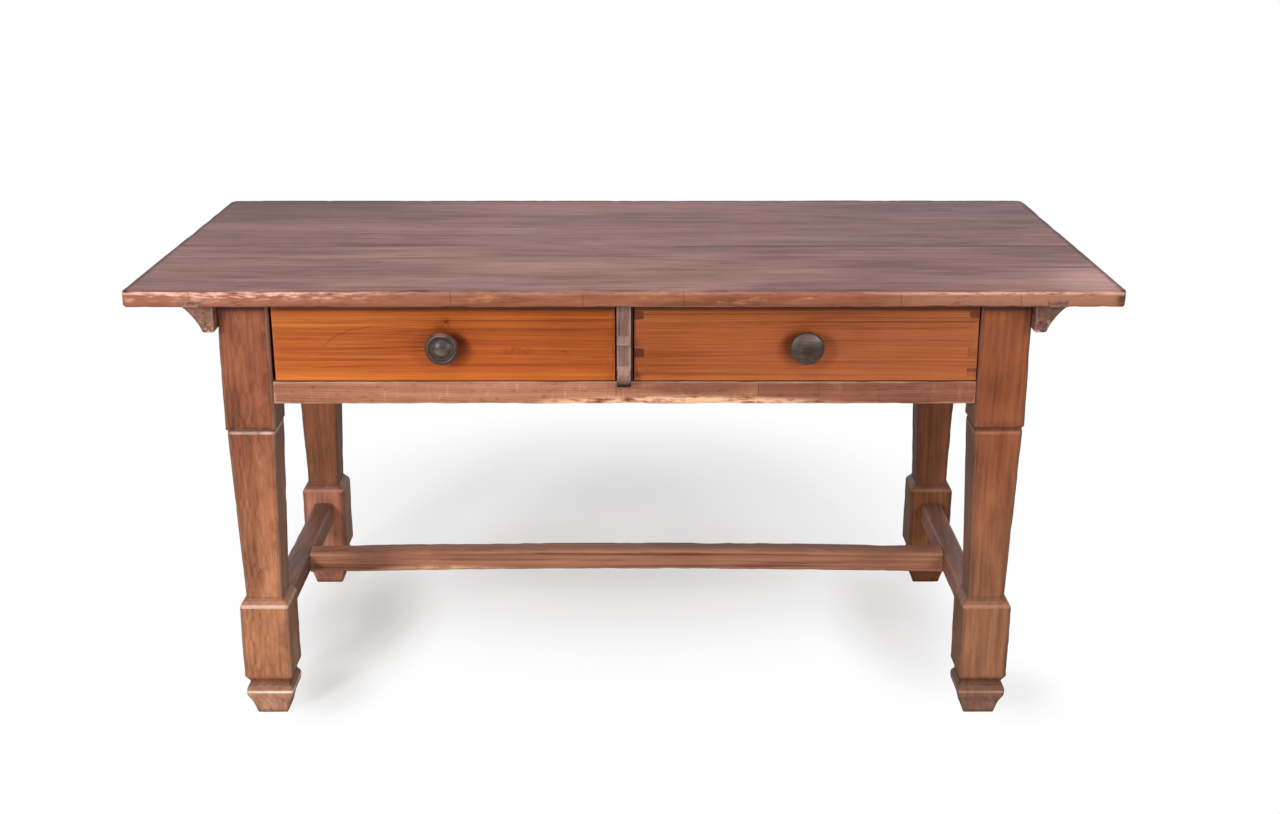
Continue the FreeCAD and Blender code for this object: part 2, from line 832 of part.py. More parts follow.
def drawer(name, side, lap, ringed):
    """All pieces of one drawer, by name."""
    left, right = drawer_span(side)
    wall = drawer_side_thickness
    front_z = (rail_top + drawer_front_gap_under, top_under - drawer_front_gap_over)
    side_z = (rail_top + drawer_run_gap, top_under - drawer_side_gap_over)
    side_spans = {"left": (left, left + wall), "right": (right - wall, right)}
    middle_x = (left + right) / 2
    knob_z = (front_z[0] + front_z[1]) / 2 - knob_drop

    back_y = (drawer_rear_y - drawer_back_inset - drawer_back_thickness, drawer_rear_y - drawer_back_inset)
    panel_z = (side_z[0] + drawer_bottom_rise, side_z[0] + drawer_bottom_rise + drawer_bottom_thickness)
    inner = (left + wall, right - wall)
    panel = box(
        (inner[0] - drawer_bottom_groove, inner[1] + drawer_bottom_groove),
        (drawer_front_back_y - drawer_bottom_groove, back_y[1]),
        panel_z,
    )
    back = box(
        (inner[0] - drawer_back_housing, inner[1] + drawer_back_housing),
        back_y,
        (panel_z[1], side_z[1] - drawer_back_drop),
    )

    nails = []
    nail_holes = []
    nail_y = (back_y[0] + back_y[1]) / 2
    for share in nail_place_shares:
        nail_x = inner[0] + share * (inner[1] - inner[0])
        seat = point(nail_x, nail_y, panel_z[0])
        tip = seat + point(0, 0, nail_length)
        head = seat - point(0, 0, nail_head_thickness)
        shank = rod(seat, tip, nail_shank_diameter)
        nails.append(fused(shank, rod(head, seat, nail_head_diameter)))
        nail_holes.append(rod(seat, tip, nail_shank_diameter + 2 * peg_fit))

    pieces = {}
    sockets = []
    for end, x_span in side_spans.items():
        tails = drawer_tails(x_span, side_z[0], side_z[1], lap)
        board = box(x_span, (drawer_front_back_y, drawer_rear_y), side_z)
        pieces[f"drawer_{name}_side_{end}"] = fused(board, *tails).cut([panel, back])
        sockets += tails

    front = bevelled_beam((left, right), (front_y, drawer_front_back_y), front_z, drawer_front_bevel, True)
    spigot_hole = rod(
        point(middle_x, front_y, knob_z),
        point(middle_x, drawer_front_back_y, knob_z),
        knob_spigot_diameter + 2 * knob_spigot_fit,
    )
    pieces[f"drawer_{name}_front"] = front.cut(sockets + [panel, spigot_hole])
    pieces[f"drawer_{name}_back"] = back.cut(nail_holes)
    pieces[f"drawer_{name}_bottom"] = panel.cut(nail_holes)
    pieces[f"drawer_{name}_bottom_nails"] = Part.makeCompound(nails)
    pieces[f"drawer_{name}_knob"] = knob(middle_x, knob_z, ringed)
    return pieces


# Whole table


def table():
    sides = {"left": -1, "right": 1}
    ends = {"front": -1, "rear": 1}
    pieces = {}
    pieces["top_board_front"], pieces["top_board_rear"] = top_boards()
    for side_name, side in sides.items():
        for end_name, end in ends.items():
            pieces[f"leg_{end_name}_{side_name}"] = leg(side, end)
        pieces[f"batten_{side_name}"] = batten(side)
        pieces[f"side_apron_{side_name}"] = side_apron(side)
        pieces[f"drawer_runner_{side_name}"] = side_runner(side)
        pieces[f"drawer_guide_{side_name}"] = side_guide(side)
        pieces[f"end_stretcher_{side_name}"] = end_stretcher(side)
    pieces["back_apron"] = back_apron()
    pieces["front_rail"] = front_rail()
    pieces["divider_post"] = divider_post()
    pieces["divider_moulding"] = divider_moulding()
    pieces["drawer_runner_centre"] = centre_runner()
    pieces["drawer_guide_centre"] = centre_guide()
    pieces["long_stretcher"] = long_stretcher()

    corners = [(side, end) for side in sides.values() for end in ends.values()]
    pieces["side_apron_pegs"] = Part.makeCompound(
        [
            side_apron_peg(side, end, share, peg_diameter)
            for side, end in corners
            for share in apron_peg_height_shares
        ]
    )
    pieces["back_apron_pegs"] = Part.makeCompound(
        [
            back_apron_peg(side, share, peg_diameter)
            for side in sides.values()
            for share in apron_peg_height_shares
        ]
    )
    pieces["end_stretcher_pegs"] = Part.makeCompound(
        [end_stretcher_peg(side, end, peg_diameter) for side, end in corners]
    )
    pieces["long_stretcher_pegs"] = Part.makeCompound(
        [long_stretcher_peg(side, peg_diameter) for side in sides.values()]
    )
    pieces["batten_pegs"] = batten_pegs()

    # The left front hides its dovetails behind a lap, and the right one shows them
    pieces.update(drawer("left", -1, tail_lap, True))
    pieces.update(drawer("right", 1, 0, False))
    return pieces


os.makedirs("parts", exist_ok=True)
for piece_name, shape in table().items():
    shape.exportStep(f"parts/{piece_name}.step")
    print(piece_name, len(shape.Solids), "solids", round(shape.Volume), "mm3", "valid", shape.isValid())
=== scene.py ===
import itertools
import json
import math

import bmesh
import bpy
import numpy as np
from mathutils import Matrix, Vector, noise

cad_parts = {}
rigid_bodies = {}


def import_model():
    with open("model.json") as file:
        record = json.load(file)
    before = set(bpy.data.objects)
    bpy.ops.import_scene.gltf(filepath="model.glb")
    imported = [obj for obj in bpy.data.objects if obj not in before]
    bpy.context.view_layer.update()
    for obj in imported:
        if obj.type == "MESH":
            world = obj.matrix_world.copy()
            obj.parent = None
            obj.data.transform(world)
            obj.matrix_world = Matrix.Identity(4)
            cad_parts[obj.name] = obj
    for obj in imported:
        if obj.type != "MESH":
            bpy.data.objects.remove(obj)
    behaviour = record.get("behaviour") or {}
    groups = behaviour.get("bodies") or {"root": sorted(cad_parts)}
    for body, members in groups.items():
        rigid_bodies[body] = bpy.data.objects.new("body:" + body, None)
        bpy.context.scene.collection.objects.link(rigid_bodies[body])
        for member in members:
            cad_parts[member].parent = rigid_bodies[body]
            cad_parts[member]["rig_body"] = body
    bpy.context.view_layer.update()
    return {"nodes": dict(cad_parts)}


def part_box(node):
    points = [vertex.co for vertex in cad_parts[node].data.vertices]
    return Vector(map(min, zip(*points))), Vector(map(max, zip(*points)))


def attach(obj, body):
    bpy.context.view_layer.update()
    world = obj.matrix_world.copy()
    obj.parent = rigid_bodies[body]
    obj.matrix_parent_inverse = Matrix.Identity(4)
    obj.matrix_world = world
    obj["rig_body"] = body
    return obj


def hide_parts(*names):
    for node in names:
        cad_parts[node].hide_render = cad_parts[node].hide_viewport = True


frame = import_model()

# Kitchen table with two drawers: worn copies of its pieces, solid-wood materials, studio and camera.
# Lengths are in metres, in the frame of the model: X to the right, Y to the back, Z up.

mm = 0.001
axes = {"X": 0, "Y": 1, "Z": 2}
other_axes = {"X": (1, 2), "Y": (0, 2), "Z": (0, 1)}

# Camera, solved from the corners of the top, the legs and the stretcher
image_width = 1280
focal_pixels = 1695.14
sensor_width = 36
camera_place = (0.02245, -3.00135, 1.4088)
camera_pitch = 0.30482
camera_yaw = 0.00098

# Limits for the copies: points that are one, faces that are flat, and edges that are arrises or creases
weld_distance = 0.01 * mm
flat_angle = math.radians(0.4)
arris_angle = math.radians(28)
crease_angle = math.radians(40)
shortest_arris = 25 * mm
# Section of a rounded arris
arris_profile = 0.6
arris_segments = 4
# Waves per metre of a face's sway and of the bites along an arris, and finer bites against these
sway_rate = 7
bite_rate = 25
fine_bite_rate, fine_bite_depth = 2.7, 0.5

# How far each seed moves the noises of a shape, of wood and of a knob
shape_shift = (3.7, 1.9, 2.3)
wood_shift = (1.37, 0.73, 0.51)
knob_shift = (1.1, 0.7, 0.4)
# First seed of each group of pieces
top_seed, leg_seed, bar_seed, inner_seed, peg_seed = 1, 3, 7, 20, 25
front_seed, side_seed, back_seed, knob_seed = 30, 34, 38, 1


def body_of(node):
    return frame["nodes"][node]["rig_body"]


def seeded(shift, seed):
    return tuple(seed * part for part in shift)


def add_object(name, data):
    added = bpy.data.objects.new(name, data)
    bpy.context.scene.collection.objects.link(added)
    return added


# Shapes


def whole_faces(node):
    """The node's mesh with its seams welded and each flat face in one."""
    mesh = bmesh.new()
    mesh.from_mesh(frame["nodes"][node].data)
    bmesh.ops.remove_doubles(mesh, verts=mesh.verts, dist=weld_distance)
    bmesh.ops.dissolve_limit(
        mesh, angle_limit=flat_angle, use_dissolve_boundaries=False, verts=mesh.verts, edges=mesh.edges
    )
    return mesh


def is_arris(edge):
    sharp = edge.is_manifold and edge.is_convex and edge.calc_face_angle() > arris_angle
    return sharp and edge.calc_length() > shortest_arris


def soften(mesh, width):
    """Rounds the long outer arrises, and returns the lines along which they ran."""
    edges = [edge for edge in mesh.edges if is_arris(edge)]
    lines = [tuple(np.array(corner.co) for corner in edge.verts) for edge in edges]
    bmesh.ops.bevel(
        mesh, geom=edges, affect="EDGES", offset=width, offset_type="OFFSET",
        segments=arris_segments, profile=arris_profile, clamp_overlap=True,
    )
    return lines


def slice_mesh(mesh, axis, places):
    """Cuts the faces, without parting them, at each place along an axis."""
    normal = Vector((0, 0, 0))
    normal[axis] = 1
    for place in places:
        geometry = mesh.verts[:] + mesh.edges[:] + mesh.faces[:]
        bmesh.ops.bisect_plane(
            mesh, geom=geometry, dist=weld_distance, plane_co=normal * place, plane_no=normal
        )


def steps(node, axis, step):
    """Even places along a node, about a step apart."""
    low, high = (corner[axis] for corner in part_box(node))
    count = max(2, round((high - low) / step))
    return [low + (high - low) * i / count for i in range(1, count)]


def margins(node, axis, bands):
    """Places at bands, in mm, in from both sides of a node."""
    low, high = (corner[axis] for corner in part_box(node))
    inner = [band * mm for band in bands if band * mm < (high - low) / 2]
    return [low + band for band in inner] + [high - band for band in inner]


def grid(node, grain, step, bands):
    """Places to slice a node: even steps along its grain, and bands in from its sides across it."""
    cuts = {axes[grain]: steps(node, axes[grain], step)}
    return cuts | {axis: margins(node, axis, bands) for axis in other_axes[grain]}


def distance_to(points, lines):
    nearest = np.full(len(points), np.inf)
    for start, end in lines:
        way = end - start
        share = np.clip(((points - start) @ way) / (way @ way), 0, 1)
        gap = np.linalg.norm(points - start - share[:, None] * way, axis=1)
        nearest = np.minimum(nearest, gap)
    return nearest


def weather(data, lines, reach, sway, chip, chip_rate, seed):
    """Marks how near each point is to an arris, and moves it: a slow sway, and bites along the arrises."""
    points = np.array([vertex.co for vertex in data.vertices])
    normals = np.array([vertex.normal for vertex in data.vertices])
    wear = np.clip(1 - distance_to(points, lines) / reach, 0, 1) if lines else np.zeros(len(points))
    data.attributes.new("wear", "FLOAT", "POINT").data.foreach_set("value", wear.astype(np.float32))
    shift = Vector(seeded(shape_shift, seed))
    moved = np.zeros(len(points))
    for i, point in enumerate(points):
        place = Vector(point)
        if sway:
            moved[i] += sway * noise.noise(place * sway_rate + shift)
        if chip and wear[i] > 0:
            bite = noise.noise(place * chip_rate + shift)
            bite += fine_bite_depth * noise.noise(place * chip_rate * fine_bite_rate + shift)
            moved[i] -= chip * wear[i] * max(0, bite)
    points += normals * moved[:, None]
    data.vertices.foreach_set("co", points.astype(np.float32).ravel())


def worn_piece(
    node, width, cuts, sway=0, chip=0, chip_rate=bite_rate, reach=None, lines=None, seed=0, shape=None
):
    """A copy of a node with rounded, worn arrises that stands for it."""
    mesh = whole_faces(node)
    found = soften(mesh, width) if width else []
    for axis, places in cuts.items():
        slice_mesh(mesh, axis, places)
    data = bpy.data.meshes.new(f"{node}_worn")
    mesh.to_mesh(data)
    mesh.free()
    weather(data, found if lines is None else lines, reach or width, sway, chip, chip_rate, seed)
    if shape:
        shape(data)
    data.shade_smooth()
    data.set_sharp_from_angle(angle=crease_angle)
    piece = add_object(f"{node}_worn", data)
    level = piece.modifiers.new("level_faces", "WEIGHTED_NORMAL")
    level.keep_sharp = True
    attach(piece, body_of(node))
    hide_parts(node)
    return piece


# Materials


def tone(red, green, blue):
    """Colour as it looks on a screen, 0 to 255, as the linear colour that a shader takes."""

    def linear(value):
        share = value / 255
        return share / 12.92 if share <= 0.04045 else ((share + 0.055) / 1.055) ** 2.4

    return (linear(red), linear(green), linear(blue), 1)


# Ratios of red, green and blue that dirt, shade and bleaching leave of a colour; the first also darkens
# painted shade and painted shadows. Red lasts longest
dirt_and_shade = (0.34, 0.28, 0.27)
shade = (0.62, 0.58, 0.58)
bleach = (1.35, 1.42, 1.5)

# How cracks and scratches stray from a straight line: waves per metre and size
shake_rate = 45
shake_size = (3 * mm, 3 * mm, 3 * mm)

# Depth of a patch on a front
patch_depth = 0.05
# Middle of a noise, and the range in which most of it lies
noise_middle, noise_range = 0.5, (0.3, 0.7)

# Sockets of the node that mixes colours
mix_factor, mix_first, mix_second, mix_result = 0, 6, 7, 2


class Tree:
    """Node tree of a material or a world."""

    def __init__(self, owner):
        owner.use_nodes = True
        self.nodes = owner.node_tree.nodes
        self.links = owner.node_tree.links
        self.nodes.clear()

    def add(self, kind, inputs=None, output=0, **settings):
        """A new node with its settings and its inputs, by name or number. Returns one of its outputs."""
        node = self.nodes.new("ShaderNode" + kind)
        for key, value in settings.items():
            setattr(node, key, value)
        for key, value in (inputs or {}).items():
            if isinstance(value, bpy.types.NodeSocket):
                self.links.new(value, node.inputs[key])
            else:
                node.inputs[key].default_value = value
        return node.outputs[output] if node.outputs else None

    def math(self, operation, *values, clamp=False):
        return self.add("Math", dict(enumerate(values)), operation=operation, use_clamp=clamp)

    def times(self, first, *others):
        for other in others:
            first = self.math("MULTIPLY", first, other)
        return first

    def times_plus(self, first, second, third, clamp=False):
        return self.math("MULTIPLY_ADD", first, second, third, clamp=clamp)


class Shader(Tree):
    """Node tree of one new material, with a short call for each kind of node that it uses."""

    def __init__(self, name):
        self.material = bpy.data.materials.new(name)
        super().__init__(self.material)
        self.spot = self.add("TexCoord", output="Object")
        self.parts = self.x, self.y, self.z = self.split(self.spot)

    def split(self, vector):
        return tuple(self.add("SeparateXYZ", {0: vector}).node.outputs)

    def join(self, x, y, z):
        return self.add("CombineXYZ", {0: x, 1: y, 2: z})

    def facing(self):
        """The three parts of the direction in which the surface faces."""
        return self.split(self.add("NewGeometry", output="Normal"))

    def vector(self, operation, *values, output=0):
        return self.add("VectorMath", dict(enumerate(values)), output=output, operation=operation)

    def noise(self, place, rates, detail=2, rough=0.5, output=0):
        """Noise with a number of waves per metre along each axis, or one for all."""
        stretched = self.vector("MULTIPLY", place, rates if isinstance(rates, tuple) else (rates,) * 3)
        inputs = {"Vector": stretched, "Scale": 1, "Detail": detail, "Roughness": rough}
        return self.add("TexNoise", inputs, output=output)

    def swing(self, *values):
        """Noise that swings about 0."""
        return self.math("SUBTRACT", self.noise(*values), noise_middle)

    def remap(self, value, low, high, to_low=0, to_high=1, smooth=False):
        inputs = {"Value": value, "From Min": low, "From Max": high, "To Min": to_low, "To Max": to_high}
        return self.add("MapRange", inputs, interpolation_type="SMOOTHSTEP" if smooth else "LINEAR")

    def fade(self, value, low, high, to_low=0):
        """A smooth change to 1 from one value to another."""
        return self.remap(value, low, high, to_low, smooth=True)

    def ramp(self, value, stops):
        """Colour or grey from a value, through stops of (place, colour or grey)."""
        result = self.add("ValToRGB", {0: value})
        elements = result.node.color_ramp.elements
        while len(elements) < len(stops):
            elements.new(0.5)
        for element, (place, colour) in zip(elements, stops):
            element.position = place
            element.color = colour if isinstance(colour, tuple) else (colour, colour, colour, 1)
        return result

    def mix(self, factor, first, second, blend="MIX"):
        inputs = {mix_factor: factor, mix_first: first, mix_second: second}
        return self.add("Mix", inputs, output=mix_result, data_type="RGBA", blend_type=blend)

    def tint(self, colour, factor, strength, ratio):
        """The colour multiplied by a ratio of red, green and blue, where a factor is 1."""
        share = self.times(factor, strength)
        return self.mix(share, colour, self.mix(1, colour, (*ratio, 1), "MULTIPLY"))

    def patch(self, centre, radii, soft):
        """1 inside an ellipsoid, fading to 0 over its soft outer share."""
        offset = self.vector("SUBTRACT", self.spot, centre)
        scaled = self.vector("DIVIDE", offset, radii)
        length = self.vector("LENGTH", scaled, output=1)
        return self.fade(length, 1, 1 - soft)

    def front_patch(self, centre, radii, front, soft):
        """A patch on a front at one Y, with its centre and radii in X and Z."""
        return self.patch((centre[0], front, centre[1]), (radii[0], patch_depth, radii[1]), soft)

    def band(self, value, low, high, soft):
        """1 where a value lies between two others, fading to 0 over a soft margin outside them."""
        return self.times(self.remap(value, low - soft, low), self.remap(value, high + soft, high))

    def stroke(self, start, end, width, across):
        """1 up to a fifth of a width from the line between two points seen along an axis, 0 from a half."""
        keep = [1, 1, 1]
        keep[axes[across]] = 0
        shake = self.noise(self.spot, shake_rate, output=1)
        spot = self.vector("MULTIPLY", self.vector("MULTIPLY_ADD", shake, shake_size, self.spot), tuple(keep))
        first, way = Vector(start), Vector(end) - Vector(start)
        offset = self.vector("SUBTRACT", spot, first)
        reached = self.vector("DOT_PRODUCT", offset, way, output=1)
        share = self.math("DIVIDE", reached, way.length_squared, clamp=True)
        nearest = self.vector("SCALE", way)
        self.links.new(share, nearest.node.inputs["Scale"])
        gap = self.vector("DISTANCE", offset, nearest, output=1)
        return self.fade(gap, width / 2, width / 5)

    def finish(self, colour, roughness, specular, height, bump, bump_depth):
        normal = self.add("Bump", {"Height": height, "Strength": bump, "Distance": bump_depth})
        inputs = {
            "Base Color": colour, "Roughness": roughness, "Specular IOR Level": specular, "Normal": normal
        }
        self.add("OutputMaterial", {"Surface": self.add("BsdfPrincipled", inputs)})
        return self.material


class Wood:
    """How one kind of wood looks: its middle tone and the strength of each part of its figure."""

    darker = (0.46, 0.4, 0.38)
    lighter = (1.55, 1.65, 1.75)
    # Tone of rubbed arrises, also used for the painted light on faces turned up
    worn = tone(206, 158, 130)
    pith = (0.05, -0.12)
    tilt = 0.03
    ring_spacing = 4 * mm
    ring_depth = 0.1
    wander = 0.01
    wander_rates = (1.2, 5, 5)
    curl = 0
    curl_rate = 22
    streak_rates = (0.8, 170, 170)
    streak_depth = 0.6
    broad_rates = (0.9, 26, 26)
    broad_depth = 0.45
    blotch_rates = (4, 9, 9)
    blotch_depth = 0.6
    fibre_depth = 0.25
    dashes = 0.35
    dash_rates = (7, 200, 200)
    # Strengths of the painted light on faces turned up and of the painted shade on faces turned down
    lit_from_above = 0
    shade_under = 0
    end_grain = 0.6
    wear = 0.5
    grime = 0.3
    edge_dirt = 0
    roughness = (0.34, 0.5)
    specular = 0.3
    bump = 0.35

    def __init__(self, red, green, blue, **figure):
        self.tone = tone(red, green, blue)
        for key, value in figure.items():
            setattr(self, key, value)

    def stops(self):
        """Tones of the dark, middle and light figure, for a ramp."""

        def scaled(ratio):
            return tuple(part * share for part, share in zip(self.tone, ratio)) + (1,)

        return (0.2, scaled(self.darker)), (0.5, self.tone), (0.8, scaled(self.lighter))


# Grey of a growth ring: its middle, and its run from one dark line to the next
ring_middle = 0.3
ring_profile = ((0, 0.8), (0.1, 0), (0.6, 0.15), (0.92, 1), (1, 0.8))
# Waves per metre, along and across the grain, of fibres, smeared dirt and rubbed arrises
fibre_rates = (9, 900, 900)
smear_rates = (22, 90, 90)
rub_rates = (16, 70, 70)
# How far the streaks wander with the rings, how uneven rubbing is, and the depth of the relief
streak_wander = 0.03
rub_unevenness = 1.8
relief_depth = 0.6 * mm
# Shares of the streaks, rings and fibres in the relief
streak_relief, ring_relief, fibre_relief = 0.6, -0.15, 0.4
# Ranges of a noise over which pores, smears and rubbed spots come in
pore_range, smear_range, rubbed_range = (0.64, 0.76), (0.58, 0.76), (0.35, 0.95)
# Ranges of the nearness to an arris over which its dirt and its rubbing come in
edge_dirt_range, edge_rub_range = (0.1, 0.6), (0, 0.3)
# Ranges of the facing of ledges, undersides, end grain, flat tops, upright rims, fronts and inner sides
ledge_range, under_range, end_range, flat_range = (0.25, 0.7), (-0.2, -0.7), (0.93, 0.99), (0.5, 0.9)
upright_range, front_range, inner_range = (0.6, 0.35), (-0.5, -0.9), (-0.6, -0.9)


def growth_rings(s, look, grain, node, drift, ripple):
    """Rings round a pith, which wander as the trunk did and curl where the grain is wavy."""
    low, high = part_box(node)
    side, rise = (
        s.math("SUBTRACT", s.parts[i], (low[i] + high[i]) / 2 + offset)
        for i, offset in zip(other_axes[grain], look.pith)
    )
    leaning = s.times_plus(s.parts[axes[grain]], look.tilt, rise)
    ring_side = s.times_plus(drift[0], look.wander, side)
    ring_rise = s.times_plus(drift[1], look.wander, leaning)
    radius = s.math("ADD", ripple, s.vector("LENGTH", s.join(0, ring_side, ring_rise), output=1))
    return s.ramp(s.math("FRACT", s.math("DIVIDE", radius, look.ring_spacing)), ring_profile)


def worn_arrises(s, look, colour, place):
    """The colour with arrises that are outlined with dirt and rubbed pale."""
    edge = s.add("Attribute", output="Fac", attribute_name="wear")
    colour = s.tint(colour, s.remap(edge, *edge_dirt_range), look.edge_dirt, dirt_and_shade)
    uneven = s.times_plus(s.swing(place, rub_rates, 4, 0.65), rub_unevenness, edge)
    share = s.times(s.remap(uneven, *rubbed_range), s.remap(edge, *edge_rub_range), look.wear)
    return s.mix(share, colour, look.worn)


def faced(s, look, colour, grain):
    """The colour with painted light on faces turned up, painted shade on faces turned down, and end grain
    that drinks more finish.
    """
    facing = s.facing()
    colour = s.mix(s.times(s.remap(facing[2], *ledge_range), look.lit_from_above), colour, look.worn)
    colour = s.tint(colour, s.remap(facing[2], *under_range), look.shade_under, dirt_and_shade)
    ends = s.remap(s.math("ABSOLUTE", facing[axes[grain]]), *end_range)
    return s.tint(colour, ends, look.end_grain, dirt_and_shade)


def wood(node, look, grain, seed, marks=None):
    """Solid wood: growth rings round a pith, streaks and fibres along the grain, worn arrises and grime."""
    s = Shader(f"{node}_wood")
    turned = s.join(*(s.parts[i] for i in (axes[grain], *other_axes[grain])))
    place = s.vector("ADD", turned, seeded(wood_shift, seed))
    drift = s.split(s.noise(place, look.wander_rates, output=1))
    ripple = s.times(s.swing(place, look.curl_rate, 1), look.curl)
    ring = growth_rings(s, look, grain, node, drift, ripple)

    # Streaks and fibres follow the same wandering
    bends = [s.times_plus(part, streak_wander, ripple) for part in drift[:2]]
    bent = s.vector("ADD", place, s.join(0, *bends))
    streak = s.noise(bent, look.streak_rates, 4, 0.62)
    broad = s.noise(bent, look.broad_rates, 3)
    blotch = s.noise(place, look.blotch_rates, 4, 0.55)
    fibre = s.noise(bent, fibre_rates, 2, 0.6)
    depths = (look.streak_depth, look.broad_depth, look.blotch_depth, look.fibre_depth)
    level = noise_middle
    for figure, depth in zip((streak, broad, blotch, fibre), depths):
        level = s.times_plus(s.math("SUBTRACT", figure, noise_middle), depth, level)
    level = s.times_plus(s.math("SUBTRACT", ring, ring_middle), -look.ring_depth, level, clamp=True)
    colour = s.ramp(level, look.stops())

    # Short dark pores, the piece's own marks, smeared dirt, and wear
    pores = s.remap(s.noise(bent, look.dash_rates), *pore_range)
    colour = s.tint(colour, pores, look.dashes, dirt_and_shade)
    if marks:
        colour = marks(s, colour, place)
    smear_and_shade = s.noise(place, smear_rates, 6, 0.7)
    colour = s.tint(colour, s.remap(smear_and_shade, *smear_range), look.grime, dirt_and_shade)
    colour = faced(s, look, worn_arrises(s, look, colour, place), grain)

    polish = s.times_plus(streak, 0.5, s.times(smear_and_shade, 0.5))
    roughness = s.remap(polish, *noise_range, *look.roughness)
    height = s.times_plus(ring, ring_relief, s.times(fibre, fibre_relief))
    height = s.times_plus(streak, streak_relief, height)
    return s.finish(colour, roughness, look.specular, height, look.bump, relief_depth)


# Dark varnish of the knobs, with the tone where it is rubbed and how much, and rusty iron of the nails
varnish_tones = ((0.3, tone(50, 38, 32)), (0.5, tone(70, 53, 46)), (0.7, tone(98, 77, 67)))
rubbed_varnish, varnish_rub = tone(140, 122, 112), 0.7
varnish_roughness, iron_roughness = (0.3, 0.46), (0.5, 0.85)
rust_tones = ((0.35, tone(40, 36, 35)), (0.5, tone(72, 62, 56)), (0.7, tone(110, 66, 40)))


def dark_knob(node, seed, marks):
    """Turned wood under old dark varnish, rubbed on its high parts, with painted highlights and painted
    shade.
    """
    s = Shader(f"{node}_wood")
    low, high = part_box(node)
    middle = (low + high) / 2
    place = s.vector("ADD", s.spot, seeded(knob_shift, seed))
    cloud = s.noise(place, 60, 5, 0.6)
    grain = s.noise(place, (25, 400, 400), 3, 0.6)
    level = s.times_plus(grain, 0.5, s.times(cloud, 0.5))
    colour = s.ramp(level, varnish_tones)
    edge = s.add("Attribute", output="Fac", attribute_name="wear")
    rubbed = s.remap(s.times_plus(cloud, 0.8, edge), 0.7, 1.3)
    colour = s.mix(s.times(rubbed, varnish_rub), colour, rubbed_varnish)
    # Pale and dark patches: painted highlights and painted shade
    for (x, z), (across, up), ratio in marks:
        centre = (middle.x + x * mm, low.y, middle.z + z * mm)
        colour = s.tint(colour, s.patch(centre, (across * mm, 0.06, up * mm), 0.6), 1, ratio)
    roughness = s.remap(cloud, *noise_range, *varnish_roughness)
    return s.finish(colour, roughness, specular=0.5, height=level, bump=0.3, bump_depth=0.5 * mm)


def old_iron(name):
    """Dull nail iron with rust."""
    s = Shader(name)
    cloud = s.noise(s.spot, 300, 5, 0.6)
    roughness = s.remap(cloud, *noise_range, *iron_roughness)
    colour = s.ramp(cloud, rust_tones)
    return s.finish(colour, roughness, specular=0.5, height=cloud, bump=0.5, bump_depth=0.3 * mm)


def give(node_or_piece, material):
    piece = frame["nodes"][node_or_piece] if isinstance(node_or_piece, str) else node_or_piece
    piece.data.materials.clear()
    piece.data.materials.append(material)


def dress(node, look, grain, marks, seed, width, cuts, **wear):
    """Gives a node a worn copy, and the copy its wood."""
    give(worn_piece(node, width, cuts, seed=seed, **wear), wood(node, look, grain, seed, marks))


# Top
top_low = Vector(map(min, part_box("top_board_front")[0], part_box("top_board_rear")[0]))
top_high = Vector(map(max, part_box("top_board_front")[1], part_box("top_board_rear")[1]))
top_z = top_high.z
seam_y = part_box("top_board_front")[1].y
top_wood = Wood(
    128, 90, 84,
    pith=(0.03, -0.1), ring_spacing=9 * mm, streak_rates=(4.5, 75, 75), streak_depth=1.3,
    broad_rates=(1.2, 20, 20), broad_depth=0.6, blotch_rates=(3, 8, 8), blotch_depth=1.05,
    dashes=0, wear=0, specular=0.08, roughness=(0.36, 0.52),
    darker=(0.6, 0.52, 0.52), lighter=(1.34, 1.42, 1.46),
)

# Stains on the top, and a painted sheen at its right front corner: centre, radii, strength and ratio of
# colour
top_stains_and_sheen = (
    ((-0.74, 0.36), (0.5, 0.32), 1, (0.52, 0.52, 0.5)),
    ((0.66, 0.3), (0.5, 0.24), 1, (0.88, 0.96, 1.08)),
    ((-0.4, -0.21), (0.2, 0.06), 0.9, (0.72, 0.68, 0.68)),
    ((0.43, -0.195), (0.14, 0.06), 0.9, (0.76, 0.72, 0.74)),
    ((-0.21, -0.34), (0.17, 0.06), 0.9, (1.16, 1.3, 1.36)),
    # These two are a painted sheen at the right front corner
    ((0.72, -0.32), (0.24, 0.13), 1, (1.22, 1.22, 1.24)),
    ((0.78, -0.32), (0.12, 0.15), 1, (1.55, 1.72, 1.82)),
    ((-0.05, 0.2), (0.26, 0.11), 0.9, (0.96, 1.05, 1.15)),
    ((0.3, 0.03), (0.24, 0.08), 0.9, (1, 1.08, 1.18)),
    ((0.1, 0.14), (0.5, 0.07), 0.8, (0.84, 0.82, 0.82)),
    ((-0.1, -0.36), (0.8, 0.07), 0.8, (1.12, 1.14, 1.16)),
    ((-0.25, -0.24), (0.75, 0.22), 1, (1.16, 1.2, 1.16)),
    ((-0.45, -0.035), (0.36, 0.035), 0.8, (0.74, 0.7, 0.68)),
)
# Cracks and the dirty seam: start, end, width in mm and strength
top_cracks = (
    ((-0.78, -0.056), (0.09, -0.058), 5, 0.2),
    ((0.09, -0.058), (0.35, -0.058), 9, 1),
    ((0.35, -0.057), (0.78, -0.056), 7, 0.75),
    ((-0.51, -0.038), (-0.38, -0.043), 10, 0.9),
    ((-0.38, -0.043), (-0.25, -0.046), 7, 0.8),
    ((-0.157, -0.017), (-0.047, -0.077), 5, 0.7),
)
